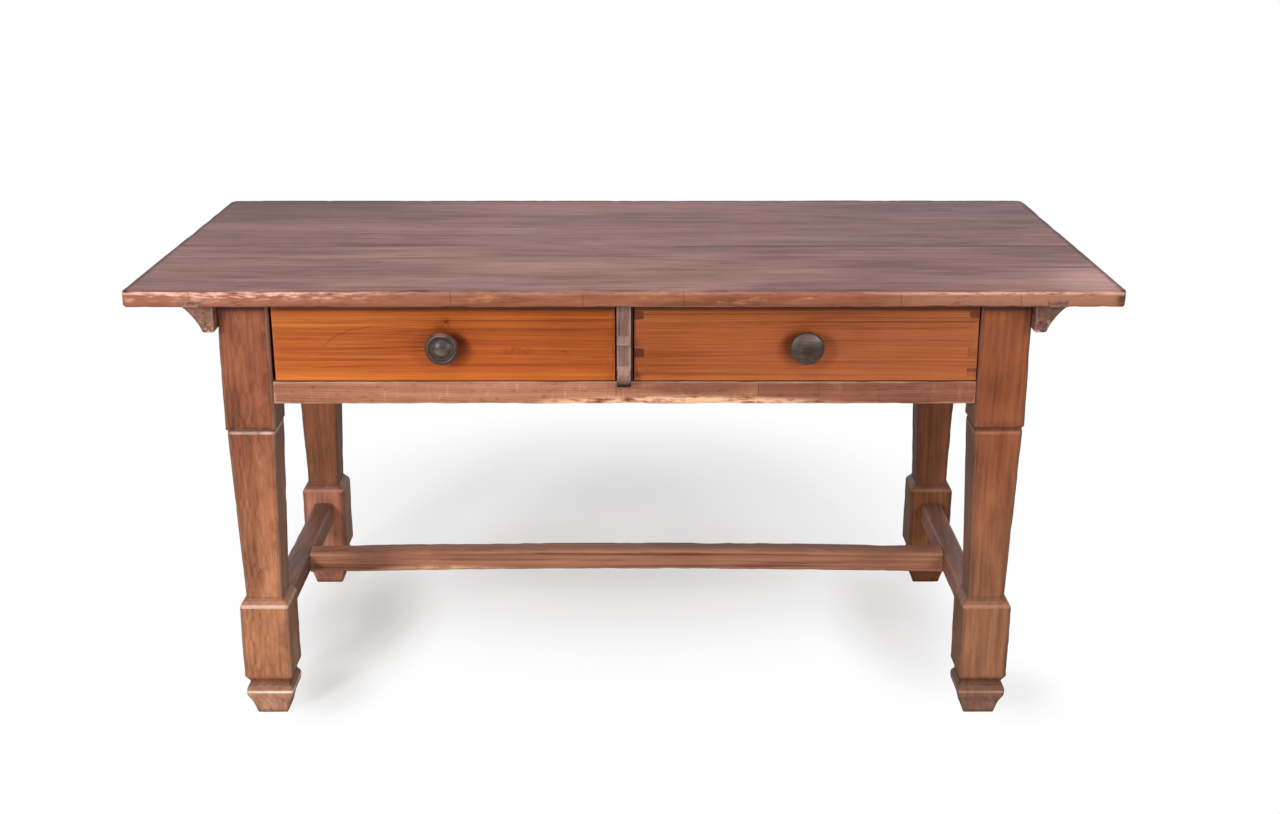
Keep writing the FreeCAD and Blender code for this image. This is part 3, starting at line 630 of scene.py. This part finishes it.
# Pale scratches: start, end, width in mm and strength
top_scratches = (
    ((-0.79, -0.26), (-0.69, -0.258), 6, 0.6),
    ((-0.775, -0.14), (-0.7, -0.139), 6, 0.6),
    ((-0.76, 0.02), (-0.71, 0.021), 7, 0.5),
    ((-0.76, -0.2), (-0.6, -0.12), 1.6, 0.5),
    ((-0.72, -0.28), (-0.66, -0.1), 1.4, 0.4),
    ((-0.62, 0.1), (-0.5, 0.02), 1.6, 0.4),
    ((-0.3, -0.24), (-0.12, -0.27), 1.6, 0.4),
    ((0.2, -0.3), (0.34, -0.25), 1.6, 0.4),
    ((0.55, 0.05), (0.7, 0.16), 1.6, 0.4),
)
# Short fine lines along the grain of the top: shift of the noise, strength and ratio of colour
top_dashes = (
    (0, 0.6, (0.52, 0.44, 0.43)),
    (5.3, 0.4, (0.62, 0.56, 0.56)),
    (9.1, 0.5, (1.3, 1.4, 1.45)),
)
top_dash_rates = (7, 68, 68)
dash_range = (0.6, 0.66)

# Rims of the top: tones, the places where the pinker ends begin, and fine cracks down the front
rim_tones = ((0.32, tone(126, 74, 50)), (0.5, tone(149, 93, 68)), (0.68, tone(163, 107, 82)))
rim_left, rim_right = (-0.3, -0.58), (0.36, 0.56)
pink_left, pink_right = tone(168, 106, 88), tone(180, 126, 104)
# Tones of knots, of pale rubbed spots, and of the arris, which is rubbed and carries a painted highlight
rim_knot, rim_pale, rim_arris_wear_and_highlight = tone(216, 152, 108), tone(236, 192, 172), tone(232, 182, 158)
rim_ticks = (-0.69, -0.275, -0.065, 0.095, 0.44, 0.63)
tick_lean, tick_length, tick_width = 2 * mm, 28 * mm, 2.5 * mm


def box_arrises(low, high):
    """The twelve edges of a box, as lines."""
    corners = [np.array(corner) for corner in itertools.product(*zip(low, high))]
    pairs = itertools.combinations(corners, 2)
    return [(first, second) for first, second in pairs if np.count_nonzero(first != second) == 1]


def top_marks(s, colour, place):
    """Stains, a painted sheen, cracks and scratches on the face of the top, and redder, rubbed rims."""
    for shift, strength, ratio in top_dashes:
        dashes = s.noise(s.vector("ADD", place, (shift, shift, shift)), top_dash_rates)
        colour = s.tint(colour, s.remap(dashes, *dash_range), strength, ratio)
    # Stains, and the painted sheen at the right front corner
    for centre, radii, strength, ratio in top_stains_and_sheen:
        colour = s.tint(colour, s.patch((*centre, top_z), (*radii, 0.2), 0.8), strength, ratio)
    for lines, ratio in ((top_cracks, dirt_and_shade), (top_scratches, bleach)):
        for start, end, width, strength in lines:
            line = s.stroke((*start, 0), (*end, 0), width * mm, "Z")
            colour = s.tint(colour, line, strength, ratio)
    colour = s.tint(colour, outline(s, place), 1, dirt_and_shade)
    return s.mix(rim_share(s), colour, rim_colour(s, place))


def outline(s, place):
    """1 along the left, right and rear arrises of the top, in a ragged line."""
    ends = s.math("SUBTRACT", top_high.x, s.math("ABSOLUTE", s.x))
    gap = s.math("MINIMUM", ends, s.times(s.math("SUBTRACT", top_high.y, s.y), 0.6))
    ragged = s.times_plus(s.noise(place, 30, 3), 8 * mm, gap)
    return s.remap(ragged, 17 * mm, 11 * mm)


def rim_share(s):
    """1 on the upright rims of the top, but 0 in the seam."""
    upright = s.remap(s.math("ABSOLUTE", s.facing()[2]), *upright_range)
    off_seam = s.math("ABSOLUTE", s.math("SUBTRACT", s.y, seam_y))
    ends = s.math("GREATER_THAN", s.math("ABSOLUTE", s.x), top_high.x - 8 * mm)
    return s.times(upright, s.math("MAXIMUM", ends, s.remap(off_seam, 3 * mm, 6 * mm)))


def rim_colour(s, place):
    """Smooth orange brown, pinker towards the ends, with knots, a dark corner and a shaded lower edge."""
    colour = s.ramp(s.noise(place, (9, 60, 90), 5, 0.65), rim_tones)
    left = s.fade(s.x, *rim_left)
    right = s.fade(s.x, *rim_right)
    colour = s.mix(s.times(left, 0.45), colour, pink_left)
    colour = s.mix(s.times(right, 0.6), colour, pink_right)
    corner = s.patch((top_high.x, top_low.y, top_z - 14 * mm), (0.022, 0.03, 0.03), 0.6)
    colour = s.tint(colour, corner, 0.9, dirt_and_shade)
    knots = s.remap(s.noise(place, (17, 60, 70), 3, 0.6), 0.62, 0.72)
    colour = s.mix(s.times(knots, 0.4), colour, rim_knot)
    colour = s.tint(colour, s.remap(s.z, top_z - 17 * mm, top_z - 27 * mm), 0.45, shade)
    return rim_wear(s, colour, place, left, s.math("MAXIMUM", left, right))


def rim_wear(s, colour, place, left, ends):
    """The rim mottled with pale rubbed spots towards the left, a broken pale arris that is rubbed and painted
    as a highlight, ticks and dark specks.
    """
    spots = s.noise(place, (38, 110, 190), 4, 0.66)
    upper = s.remap(s.z, top_z - 22 * mm, top_z - 9 * mm)
    colour = s.mix(s.times(s.remap(spots, 0.5, 0.66), left, upper), colour, rim_pale)
    # The pale arris: wear and a painted highlight
    arris = s.times(s.remap(s.z, top_z - 9 * mm, top_z - 6 * mm), s.remap(spots, 0.36, 0.56))
    colour = s.mix(s.times(arris, s.times_plus(ends, 0.6, 0.2)), colour, rim_arris_wear_and_highlight)
    for x in rim_ticks:
        start, end = (x, 0, top_z), (x + tick_lean, 0, top_z - tick_length)
        colour = s.tint(colour, s.stroke(start, end, tick_width, "Y"), 0.5, dirt_and_shade)
    mottled = s.times(s.remap(spots, 0.42, 0.32), s.times_plus(ends, 0.5, 0.12))
    return s.tint(colour, mottled, 1, dirt_and_shade)


# Steps of the slices along and across the boards, and bands in from their sides
board_steps = (9 * mm, 40 * mm)
board_bands = (1.5, 4, 8, 14)
top_bite_rate = 55
for number, board in enumerate(("top_board_front", "top_board_rear")):
    cuts = {
        axis: steps(board, axis, step) + margins(board, axis, board_bands)
        for axis, step in enumerate(board_steps)
    }
    dress(
        board, top_wood, "X", top_marks, number + top_seed, 0, cuts, lines=box_arrises(top_low, top_high),
        sway=0.5 * mm, chip=2.6 * mm, chip_rate=top_bite_rate, reach=7 * mm,
    )


# Legs
leg_step, leg_arris = 12 * mm, 1.9 * mm
leg_bands = (3, 6, 9, 12, 15, 18, 22, 28)
# The overhang of the top hides all above this height on the front
shown_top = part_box("leg_front_left")[1].z - 15 * mm
# Painted shade lines round a leg: in the groove, over the round of the block, under the block, over the bead
# and at the floor. Lowest and highest in mm, and strength
shade_lines = ((526.5, 531, 0.75), (217, 222, 0.5), (58, 71, 0.7), (50, 57, 0.35), (0, 2, 0.6))
# Painted highlight lines in the same way: on the lip of the groove, the round over the block and the bead
highlight_lines = ((520.5, 523.5, 0.5), (206, 210, 0.5), (45, 47.5, 1))
shade_line_margin, highlight_margin = 2 * mm, 1.5 * mm
bead_top, block_top = 60 * mm, 212 * mm
# Heights between which the tone shifts towards the floor, and how softly it shifts at a foot
low_shift, foot_margin = (0.66, 0.08), 8 * mm
# Painted shade on the inner sides of the legs: darker and greyer than their fronts
inner_side_shade = (0.64, 0.78, 0.92)
# Groove of the left front leg: heights of its lip and edge, the share that is left, and reach of the change
groove_lip, groove_edge = 524 * mm, 534 * mm
groove_share, groove_reach = 0.4, 90 * mm


def painted_overhang_shadow(s, colour):
    """Painted shadow of the top's overhang on the front: a thin black line under the top, and fainter painted
    shade below it.
    """
    forward = s.remap(s.facing()[1], *front_range)
    smear_and_shade = s.fade(s.z, shown_top - 22 * mm, shown_top)
    line = s.remap(s.z, shown_top - 7 * mm, shown_top - 3 * mm)
    colour = s.tint(colour, s.times(smear_and_shade, forward), 0.35, dirt_and_shade)
    return s.tint(colour, s.times(line, forward), 0.85, dirt_and_shade)


def leg_marks(low_ratio, foot_top, foot_ratio, highlight_tone):
    """A tone that shifts by a ratio towards the floor and by another below a height, with painted shade on
    the inner sides, painted shade and highlight lines round it, and the painted shadow of the top.
    """

    def marks(s, colour, place):
        colour = s.tint(colour, s.fade(s.z, *low_shift), 1, low_ratio)
        colour = s.tint(colour, s.remap(s.z, foot_top, foot_top - foot_margin), 1, foot_ratio)
        # Painted shade on the inner sides
        inward = s.times(s.facing()[0], s.math("SIGN", s.x))
        colour = s.tint(colour, s.remap(inward, *inner_range), 1, inner_side_shade)
        # Painted shade lines, then broken painted highlight lines
        for low, high, strength in shade_lines:
            colour = s.tint(colour, s.band(s.z, low * mm, high * mm, shade_line_margin), strength, dirt_and_shade)
        broken = s.remap(s.noise(place, (8, 28, 28), 3), 0.35, 0.6, 0.35)
        for low, high, strength in highlight_lines:
            line = s.times(s.band(s.z, low * mm, high * mm, highlight_margin), broken, strength)
            colour = s.mix(line, colour, highlight_tone)
        # Painted shadow of the top's overhang
        return painted_overhang_shadow(s, colour)

    return marks


def stand(data):
    """No point of a foot lies under the floor."""
    for vertex in data.vertices:
        vertex.co.z = max(vertex.co.z, 0)


def sink_groove(data):
    """The groove of the left front leg is a thin cut, with its upper edge lower than on the other legs."""
    stand(data)
    drop = (groove_edge - groove_lip) * (1 - groove_share)
    for vertex in data.vertices:
        over_lip, over_edge = vertex.co.z - groove_lip, vertex.co.z - groove_edge
        if over_lip > 0 >= over_edge:
            vertex.co.z = groove_lip + over_lip * groove_share
        elif 0 < over_edge < groove_reach:
            vertex.co.z -= drop * (1 - over_edge / groove_reach)


# A blotched figure, dirty arrises, and a little painted light on faces turned up and painted shade under
# them; and the same with faint rings
leg_figure = dict(
    ring_spacing=6 * mm, streak_depth=0.65, broad_depth=0.4, blotch_rates=(9, 18, 18), blotch_depth=0.75,
    dashes=0.25, wear=0.25, edge_dirt=0.6, lit_from_above=0.1, shade_under=0.15,
)
calm_figure = leg_figure | dict(curl=4 * mm, ring_depth=0.05)
# Each leg: its wood, its marks with the tone of its painted highlight lines, and its shape
legs = {
    "leg_front_left": (
        Wood(143, 80, 52, **leg_figure, curl=16 * mm),
        leg_marks((1.64, 2.3, 2.5), bead_top, (1.08, 1.3, 1.7), tone(250, 226, 212)),
        sink_groove,
    ),
    "leg_front_right": (
        Wood(139, 74, 40, **calm_figure, worn=tone(180, 132, 106)),
        leg_marks((1.16, 1.78, 2.7), bead_top, (0.9, 1.08, 1.46), tone(190, 138, 120)),
        stand,
    ),
    "leg_rear_left": (
        Wood(139, 75, 42, **calm_figure, worn=tone(168, 124, 102)),
        leg_marks((1.15, 1.6, 2.2), block_top, (1.78, 1.93, 2.55), tone(190, 148, 136)),
        stand,
    ),
    "leg_rear_right": (
        Wood(121, 66, 36, **calm_figure, worn=tone(144, 104, 86)),
        leg_marks((0.95, 1.1, 1.4), block_top, (1.19, 1.29, 1.2), tone(160, 116, 98)),
        stand,
    ),
}
for number, (leg, (look, marks, shape)) in enumerate(legs.items()):
    cuts = grid(leg, "Z", leg_step, leg_bands)
    dress(
        leg, look, "Z", marks, number + leg_seed, leg_arris, cuts,
        sway=0.5 * mm, chip=2 * mm, reach=5 * mm, shape=shape,
    )


# Rails, battens, stretchers and the strip
rail_low, rail_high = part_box("front_rail")
stretcher_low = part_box("long_stretcher")[0]
batten_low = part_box("batten_left")[0]
strip_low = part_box("divider_moulding")[0]
# Where the right part of the rail turns darker, and by what ratio
rail_joint, rail_right_ratio = (0.217, 0.225), (0.76, 0.66, 0.7)
# Lines across the rail: place along it, width and strength
rail_ticks = ((-0.013, 3 * mm, 0.6), (0.221, 2.5 * mm, 0.7), (0.321, 2 * mm, 0.4))
# Lighter and darker patches of the rail: centre, radii and ratio of colour
rail_patches = (
    ((-0.04, rail_low.z + 18 * mm), (0.11, 0.04), (1.16, 1.2, 1.22)),
    ((0.12, rail_high.z - 10 * mm), (0.11, 0.018), (0.72, 0.66, 0.64)),
)
# Worn lower edges of the rail and the stretcher: centre and radii. The rail's is also painted pale for the
# light that the floor throws up on it
rail_edge_wear_and_bounce = (0.09, rail_low.y, rail_low.z), (0.31, 0.03, 0.016)
stretcher_edge = (-0.345, stretcher_low.y, stretcher_low.z + 3 * mm), (0.19, 0.03, 0.017)
rail_edge_wear_and_bounce_tone, stretcher_edge_tone = tone(240, 192, 152), tone(238, 184, 140)
stretcher_top_ratio = (1.12, 1.05, 1.02)
strip_black = (0.16, 0.16, 0.18)
batten_chip = tone(214, 176, 156)


def rail_marks(s, colour, place):
    """Darker right of the middle, crossed by scratches and ticks, with a bright lower edge that is worn and
    painted pale for light from the floor.
    """
    colour = s.tint(colour, s.remap(s.x, *rail_joint), 1, rail_right_ratio)
    scratch = s.remap(s.noise(place, (110, 30, 30), 3, 0.6), 0.6, 0.72)
    colour = s.tint(colour, scratch, 0.8, bleach)
    specks = s.remap(s.noise(place, (60, 140, 140), 3, 0.6), 0.58, 0.68)
    colour = s.tint(colour, specks, 0.4, dirt_and_shade)
    for x, width, strength in rail_ticks:
        start, end = (x, 0, rail_low.z), (x + 1 * mm, 0, rail_high.z)
        colour = s.tint(colour, s.stroke(start, end, width, "Y"), strength, dirt_and_shade)
    for centre, radii, ratio in rail_patches:
        colour = s.tint(colour, s.front_patch(centre, radii, rail_low.y, 0.6), 1, ratio)
    # The lower edge: wear, and painted light thrown up from the floor
    edge = s.patch(*rail_edge_wear_and_bounce, 0.45)
    broken = s.noise(place, (30, 120, 120), 5, 0.68)
    colour = s.mix(s.times(edge, s.remap(broken, 0.4, 0.54)), colour, rail_edge_wear_and_bounce_tone)
    return s.tint(colour, s.times(edge, s.remap(broken, 0.4, 0.34)), 0.8, dirt_and_shade)


def stretcher_marks(s, colour, place):
    """Lighter trodden top, sides with splits, and a tan lower edge."""
    colour = s.tint(colour, s.remap(s.facing()[2], *flat_range), 1, stretcher_top_ratio)
    split = s.remap(s.noise(place, (3, 130, 130), 3, 0.55), 0.58, 0.66)
    colour = s.tint(colour, split, 0.6, dirt_and_shade)
    broken = s.remap(s.noise(place, (20, 110, 110), 4, 0.65), 0.36, 0.56)
    return s.mix(s.times(s.patch(*stretcher_edge, 0.6), broken), colour, stretcher_edge_tone)


def strip_marks(s, colour, place):
    """Black dirt round the foot of the strip."""
    ragged = s.times_plus(s.noise(place, 90, 3), 12 * mm, s.z)
    return s.tint(colour, s.remap(ragged, strip_low.z + 22 * mm, strip_low.z + 12 * mm), 1, strip_black)


def batten_marks(s, colour, place):
    """Chipped specks towards the front end, pale near its lower edge, and few behind."""
    specks = s.noise(place, 120, 3, 0.6)
    front = s.fade(s.y, batten_low.y + 70 * mm, batten_low.y + 30 * mm, 0.12)
    low = s.remap(s.z, batten_low.z + 26 * mm, batten_low.z + 4 * mm)
    colour = s.tint(colour, s.times(s.remap(specks, 0.44, 0.34), front), 0.8, dirt_and_shade)
    return s.mix(s.times(s.remap(specks, 0.54, 0.62), low, front), colour, batten_chip)


rail_wood = Wood(155, 100, 73, worn=tone(214, 168, 138), broad_depth=0.6, blotch_depth=0.9)
apron_wood = Wood(150, 98, 70, worn=tone(190, 144, 116))
# The divider post is near black: painted shade in the gaps beside the strip
post_shade_wood = Wood(58, 38, 30, worn=tone(84, 58, 46))
stretcher_wood = Wood(
    155, 102, 77, streak_depth=1.2, broad_depth=0.9, worn=tone(200, 150, 120), specular=0.2
)
end_stretcher_wood = Wood(138, 96, 80, blotch_depth=1.1, worn=tone(170, 130, 112), wear=0.2, specular=0.2)
# Painted shade on the undersides of the battens
batten_figure = dict(end_grain=0.2, shade_under=0.6)
left_batten_wood = Wood(148, 105, 84, **batten_figure, worn=tone(196, 150, 128), grime=0.6)
right_batten_wood = Wood(132, 92, 78, **batten_figure, worn=tone(186, 142, 124), grime=0.8)
# The strip has strong painted light on its faces turned up and painted shade on those turned down
strip_wood = Wood(
    130, 98, 86, blotch_rates=(40, 60, 60), worn=tone(190, 152, 136), lit_from_above=0.7, shade_under=0.9
)
# Each bar: its grain, its wood, the width and the depth of bites of its arrises in mm, and its marks
bars = {
    "front_rail": ("X", rail_wood, 2, 2.4, rail_marks),
    "long_stretcher": ("X", stretcher_wood, 2, 2.4, stretcher_marks),
    "end_stretcher_left": ("Y", end_stretcher_wood, 2, 2, None),
    "end_stretcher_right": ("Y", end_stretcher_wood, 2, 2, None),
    "batten_left": ("Y", left_batten_wood, 1.5, 1.5, batten_marks),
    "batten_right": ("Y", right_batten_wood, 1.5, 1.5, batten_marks),
    "divider_moulding": ("Z", strip_wood, 0.8, 0.8, strip_marks),
    "side_apron_left": ("Y", apron_wood, 1.5, 1, None),
    "side_apron_right": ("Y", apron_wood, 1.5, 1, None),
    "back_apron": ("X", apron_wood, 1.5, 1, None),
    "divider_post": ("Z", post_shade_wood, 1, 0.8, None),
}
bar_step = 14 * mm
bar_bands = (3, 6, 9, 14)
for number, (node, (grain, look, width, chip, marks)) in enumerate(bars.items()):
    cuts = grid(node, grain, bar_step, bar_bands)
    dress(
        node, look, grain, marks, number + bar_seed, width * mm, cuts,
        sway=0.4 * mm, chip=chip * mm, reach=5 * mm,
    )

inner_wood = Wood(160, 120, 84, worn=tone(200, 168, 132), wear=0.4)
for number, side in enumerate(("left", "centre", "right")):
    for node in (f"drawer_runner_{side}", f"drawer_guide_{side}"):
        give(node, wood(node, inner_wood, "Y", number + inner_seed))

peg_wood = Wood(128, 84, 58, worn=tone(180, 136, 104), wear=0.3)
pegs = {"side_apron": "X", "back_apron": "Y", "end_stretcher": "X", "long_stretcher": "Z", "batten": "X"}
for number, (held, grain) in enumerate(pegs.items()):
    node = f"{held}_pegs"
    give(node, wood(node, peg_wood, grain, number + peg_seed))


# Drawers
front_low, front_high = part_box("drawer_left_front")
front_y = front_low.y
right_low, right_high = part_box("drawer_right_front")
knob_low, knob_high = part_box("drawer_right_knob")
knob_middle = (knob_low + knob_high) / 2
# How much is cut off the left drawer at the top and bottom of its left end, and how far the cut is felt
wedge_high, wedge_low = 2.4 * mm, 3.6 * mm
wedge_reach = 60 * mm
# Heights over which the upper third of a front begins, and the orange band begins and ends
upper_third, band_foot, band_head = (0.69, 0.715), (0.612, 0.618), (0.634, 0.622)
line_ratio, band_ratio, upper_ratio = (0.62, 0.52, 0.46), (1.26, 1.42, 1.1), (1.06, 1.16, 1.05)
# The painted shadow of a knob falls on its side towards the middle of the table
knob_shadow_shift = 8 * mm
# Grime and painted shadow round a knob: shifts towards the middle, drop, radius across and up, softness and
# ratio of colour
knob_grime_and_shadow = (
    (1, 4 * mm, 0.042, 0.036, 0.4, (0.55, 0.46, 0.4)),
    (2, 3 * mm, 0.024, 0.024, 0.35, (0.55, 0.42, 0.34)),
)
# Ends of the left front: where each begins and is reached, and ratio of colour
left_ends = (((-0.3, -0.46), (1.08, 1.22, 1.3)), ((-0.24, -0.1), (0.9, 0.92, 0.88)))
# Points along its scratched arc
left_arc = ((-0.492, 0.673), (-0.475, 0.688), (-0.447, 0.701), (-0.412, 0.707))
# Stains on the left drawer: centre, radii and strength
left_stains = (
    ((-0.174, 0.665), (0.04, 0.009), 0.45),
    ((-0.099, 0.663), (0.008, 0.005), 0.6),
    ((-0.292, 0.716), (0.011, 0.009), 0.85),
    ((-0.298, 0.706), (0.022, 0.012), 0.5),
)
right_dull, right_dull_ratio = (0.12, 0.46), (0.98, 1, 1.3)
# Tail ends of the sides, and dirt on those of the right drawer: place, height, half height and strength
tail_tones = ((0.35, tone(154, 78, 38)), (0.65, tone(178, 96, 50)))
tail_black = (0.26, 0.21, 0.27)
tail_dirt = (
    (right_low.x, 0.725, 0.011, 0.75),
    (right_low.x, 0.661, 0.013, 0.95),
    (right_low.x, 0.626, 0.005, 0.4),
    (right_high.x, 0.727, 0.01, 0.7),
    (right_high.x, 0.632, 0.004, 0.6),
)


def wedge(data):
    """The left end of the left drawer is cut out of square, so its gap widens downwards."""
    for vertex in data.vertices:
        share = max(0, 1 - (vertex.co.x - front_low.x) / wedge_reach)
        down = (front_high.z - vertex.co.z) / (front_high.z - front_low.z)
        vertex.co.x += share * (wedge_high + (wedge_low - wedge_high) * down)


def drawer_marks(s, colour, place, band_strength):
    """Fine lines in the upper third, an orange band low down, the painted shadow of the top along its top,
    and grime and painted shadow round the knob.
    """
    lines = s.remap(s.noise(place, (0.6, 60, 190), 3, 0.6), 0.52, 0.62)
    upper = s.fade(s.z, *upper_third)
    colour = s.tint(colour, s.times(lines, s.times_plus(upper, 0.65, 0.35)), 0.9, line_ratio)
    band = s.times(s.fade(s.z, *band_head), s.fade(s.z, *band_foot))
    colour = s.tint(colour, band, band_strength, band_ratio)
    colour = s.tint(colour, upper, 0.8, upper_ratio)
    # Painted shadow of the top's overhang along the top of the front
    colour = painted_overhang_shadow(s, colour)
    # Grime and painted shadow round each knob
    for side in (-1, 1):
        for shifts, drop, across, up, soft, ratio in knob_grime_and_shadow:
            centre = (side * (knob_middle.x - shifts * knob_shadow_shift), knob_middle.z - drop)
            colour = s.tint(colour, s.front_patch(centre, (across, up), front_y, soft), 0.7, ratio)
    return colour


def left_drawer_marks(s, colour, place):
    """The same, with an arc scratched at the left, brown stains, a knot and a scuff over the knob."""
    colour = drawer_marks(s, colour, place, 0.9)
    for reach, ratio in left_ends:
        colour = s.tint(colour, s.fade(s.x, *reach), 1, ratio)
    for (x, z), (end_x, end_z) in itertools.pairwise(left_arc):
        colour = s.tint(colour, s.stroke((x, 0, z), (end_x, 0, end_z), 2.5 * mm, "Y"), 0.45, dirt_and_shade)
    ragged = s.remap(s.noise(place, (120, 160, 160), 4, 0.65), 0.38, 0.56)
    for centre, radii, strength in left_stains:
        stain = s.front_patch(centre, radii, front_y, 0.7)
        colour = s.tint(colour, s.times(stain, ragged), strength, dirt_and_shade)
    return colour


def right_drawer_marks(s, colour, place):
    """The same, with a faint band, and duller towards the right end."""
    colour = drawer_marks(s, colour, place, 0.35)
    return s.tint(colour, s.fade(s.x, *right_dull), 1, right_dull_ratio)


def tail_marks(s, colour, place):
    """The tail ends are as orange as the front of the drawer, and some are black with dirt."""
    tail = s.ramp(s.noise(place, 70, 3, 0.6), tail_tones)
    for x, height, half, strength in tail_dirt:
        dirty = s.front_patch((x, height), (0.024, half), front_y, 0.35)
        tail = s.tint(tail, dirty, strength, tail_black)
    return s.mix(s.remap(s.y, front_y + 16 * mm, front_y + 12 * mm), colour, tail)


# Painted highlights and painted shade on the knobs, pale where a dome meets the light and dark where it turns
# away: offset from the middle and radii in mm, and ratio of colour
knob_highlights_and_shade = {
    "left": (
        ((0, 11), (20, 12), (0.42, 0.44, 0.54)),
        ((-2, -5), (14, 9), (2.3, 2.2, 2.1)),
        ((-1, 24), (16, 5), (3.4, 2.8, 2.6)),
        ((0, -20), (26, 9), (0.75, 0.8, 0.95)),
    ),
    "right": (
        ((2, -3), (16, 11), (0.7, 0.68, 0.62)),
        ((0, 17), (22, 10), (1.7, 1.65, 1.65)),
    ),
}
# Fine straight streaks and a warm figure
front_figure = dict(
    specular=0.2, pith=(0.07, -0.06), ring_spacing=3.6 * mm, worn=tone(196, 128, 84), wear=0.25,
    lighter=(1.35, 1.45, 1.5), darker=(0.6, 0.48, 0.4),
    streak_rates=(1.4, 260, 260), broad_rates=(0.8, 60, 60), broad_depth=0.35,
)
# Each drawer: the wood, marks and shape of its front. The shape also cuts its left side
drawers = {
    "left": (Wood(174, 84, 32, **front_figure, streak_depth=0.9), left_drawer_marks, wedge),
    "right": (Wood(167, 88, 43, **front_figure, streak_depth=0.7), right_drawer_marks, None),
}
box_wood = Wood(178, 136, 94, worn=tone(214, 184, 148), wear=0.4, end_grain=0.15)
front_step, front_arris = 15 * mm, 1 * mm
front_bands = (2, 4, 8)
nail_iron = old_iron("nail_iron")
for number, (side, (look, marks, shape)) in enumerate(drawers.items()):
    front = f"drawer_{side}_front"
    cuts = grid(front, "X", front_step, front_bands)
    dress(
        front, look, "X", marks, number + front_seed, front_arris, cuts,
        sway=0.2 * mm, chip=0.6 * mm, reach=3 * mm, shape=shape,
    )
    for end in ("left", "right"):
        node = f"drawer_{side}_side_{end}"
        board = worn_piece(node, 0, {}, shape=shape) if shape and end == "left" else node
        give(board, wood(node, box_wood, "Y", number + side_seed, tail_marks))
    for part in ("back", "bottom"):
        node = f"drawer_{side}_{part}"
        give(node, wood(node, box_wood, "X", number + back_seed))
    give(f"drawer_{side}_bottom_nails", nail_iron)
    give(f"drawer_{side}_knob", dark_knob(f"drawer_{side}_knob", number + knob_seed, knob_highlights_and_shade[side]))


# Studio
white = (1, 1, 1, 1)
ambient_strength = 0.3
floor_half = 12
floor_greys = ((0.3, 0.92), (0.7, 0.94))
mirrored_floor = (0.4, 0.4, 0.4, 1)
# Where the floor shows the shadow of the table: centre, radii and depth
floor_shadows = (
    ((-0.02, 0.64), (0.95, 0.95), 0.62),
    ((-0.54, 0.04), (0.2, 0.44), 0.5),
    ((0.54, 0.06), (0.18, 0.42), 0.33),
    ((0.7, -0.24), (0.12, 0.16), 0.2),
    ((-0.53, -0.24), (0.1, 0.14), 0.25),
)
# Lamps: name, place, target, size and power
lamps = (
    ("left_softbox", (-1.75, -2.4, 1.45), (0, 0, 0.5), (0.5, 0.6), 38),
    ("right_softbox", (1.9, -2.5, 1.5), (0, 0, 0.5), (0.5, 0.6), 21),
    ("top_softbox", (0, 0.3, 3.4), (0, 0, 0.5), (2.4, 1.6), 32),
    ("front_strip", (-0.4, -1.6, 2.7), (0, -0.3, 0.3), (2.2, 0.4), 14),
)


def white_room():
    """Plain light from all round, and white wherever the camera or a reflection sees past the table."""
    world = bpy.data.worlds.new("white_room")
    bpy.context.scene.world = world
    tree = Tree(world)
    seen = tree.add("LightPath", output="Is Camera Ray")
    for kind in ("Is Glossy Ray", "Is Transmission Ray"):
        seen = tree.math("MAXIMUM", seen, tree.add("LightPath", output=kind))
    ambient = tree.add("Background", {"Color": white, "Strength": ambient_strength})
    plain = tree.add("Background", {"Color": white, "Strength": 1})
    tree.add("OutputWorld", {"Surface": tree.add("MixShader", {0: seen, 1: ambient, 2: plain})})


def floor():
    """White floor that keeps a soft, pale shadow of the table."""
    near, far = -floor_half, floor_half
    data = bpy.data.meshes.new("floor")
    data.from_pydata([(near, near, 0), (far, near, 0), (far, far, 0), (near, far, 0)], [], [(0, 1, 2, 3)])
    plane = add_object("floor", data)
    s = Shader("floor_white")
    pale_paint = s.ramp(s.noise(s.spot, 3, 3), floor_greys)
    mirrored = s.add("LightPath", output="Is Glossy Ray")
    paint = s.add("BsdfDiffuse", {"Color": s.mix(mirrored, pale_paint, mirrored_floor)})
    glow = s.add("Emission", {"Color": white, "Strength": 1})
    seen = s.add("LightPath", output="Is Camera Ray")
    share = 1
    for centre, radii, depth in floor_shadows:
        shadow = s.patch((*centre, 0), (*radii, 1), 0.9)
        share = s.times_plus(shadow, -depth, share, clamp=True)
    s.add("OutputMaterial", {"Surface": s.add("MixShader", {0: s.times(seen, share), 1: paint, 2: glow})})
    data.materials.append(s.material)


def soft_light(name, place, target, size, power):
    lamp = bpy.data.lights.new(name, "AREA")
    lamp.shape = "RECTANGLE"
    lamp.size, lamp.size_y = size
    lamp.energy = power
    holder = add_object(name, lamp)
    holder.location = place
    holder.rotation_euler = (Vector(target) - Vector(place)).to_track_quat("-Z", "Y").to_euler()


def camera():
    data = bpy.data.cameras.new("camera")
    data.sensor_width = sensor_width
    data.lens = focal_pixels * sensor_width / image_width
    eye = add_object("camera", data)
    eye.location = camera_place
    eye.rotation_euler = (math.pi / 2 - camera_pitch, 0, -camera_yaw)
    bpy.context.scene.camera = eye


white_room()
floor()
for lamp in lamps:
    soft_light(*lamp)
camera()
bpy.context.scene.view_settings.view_transform = "Standard"
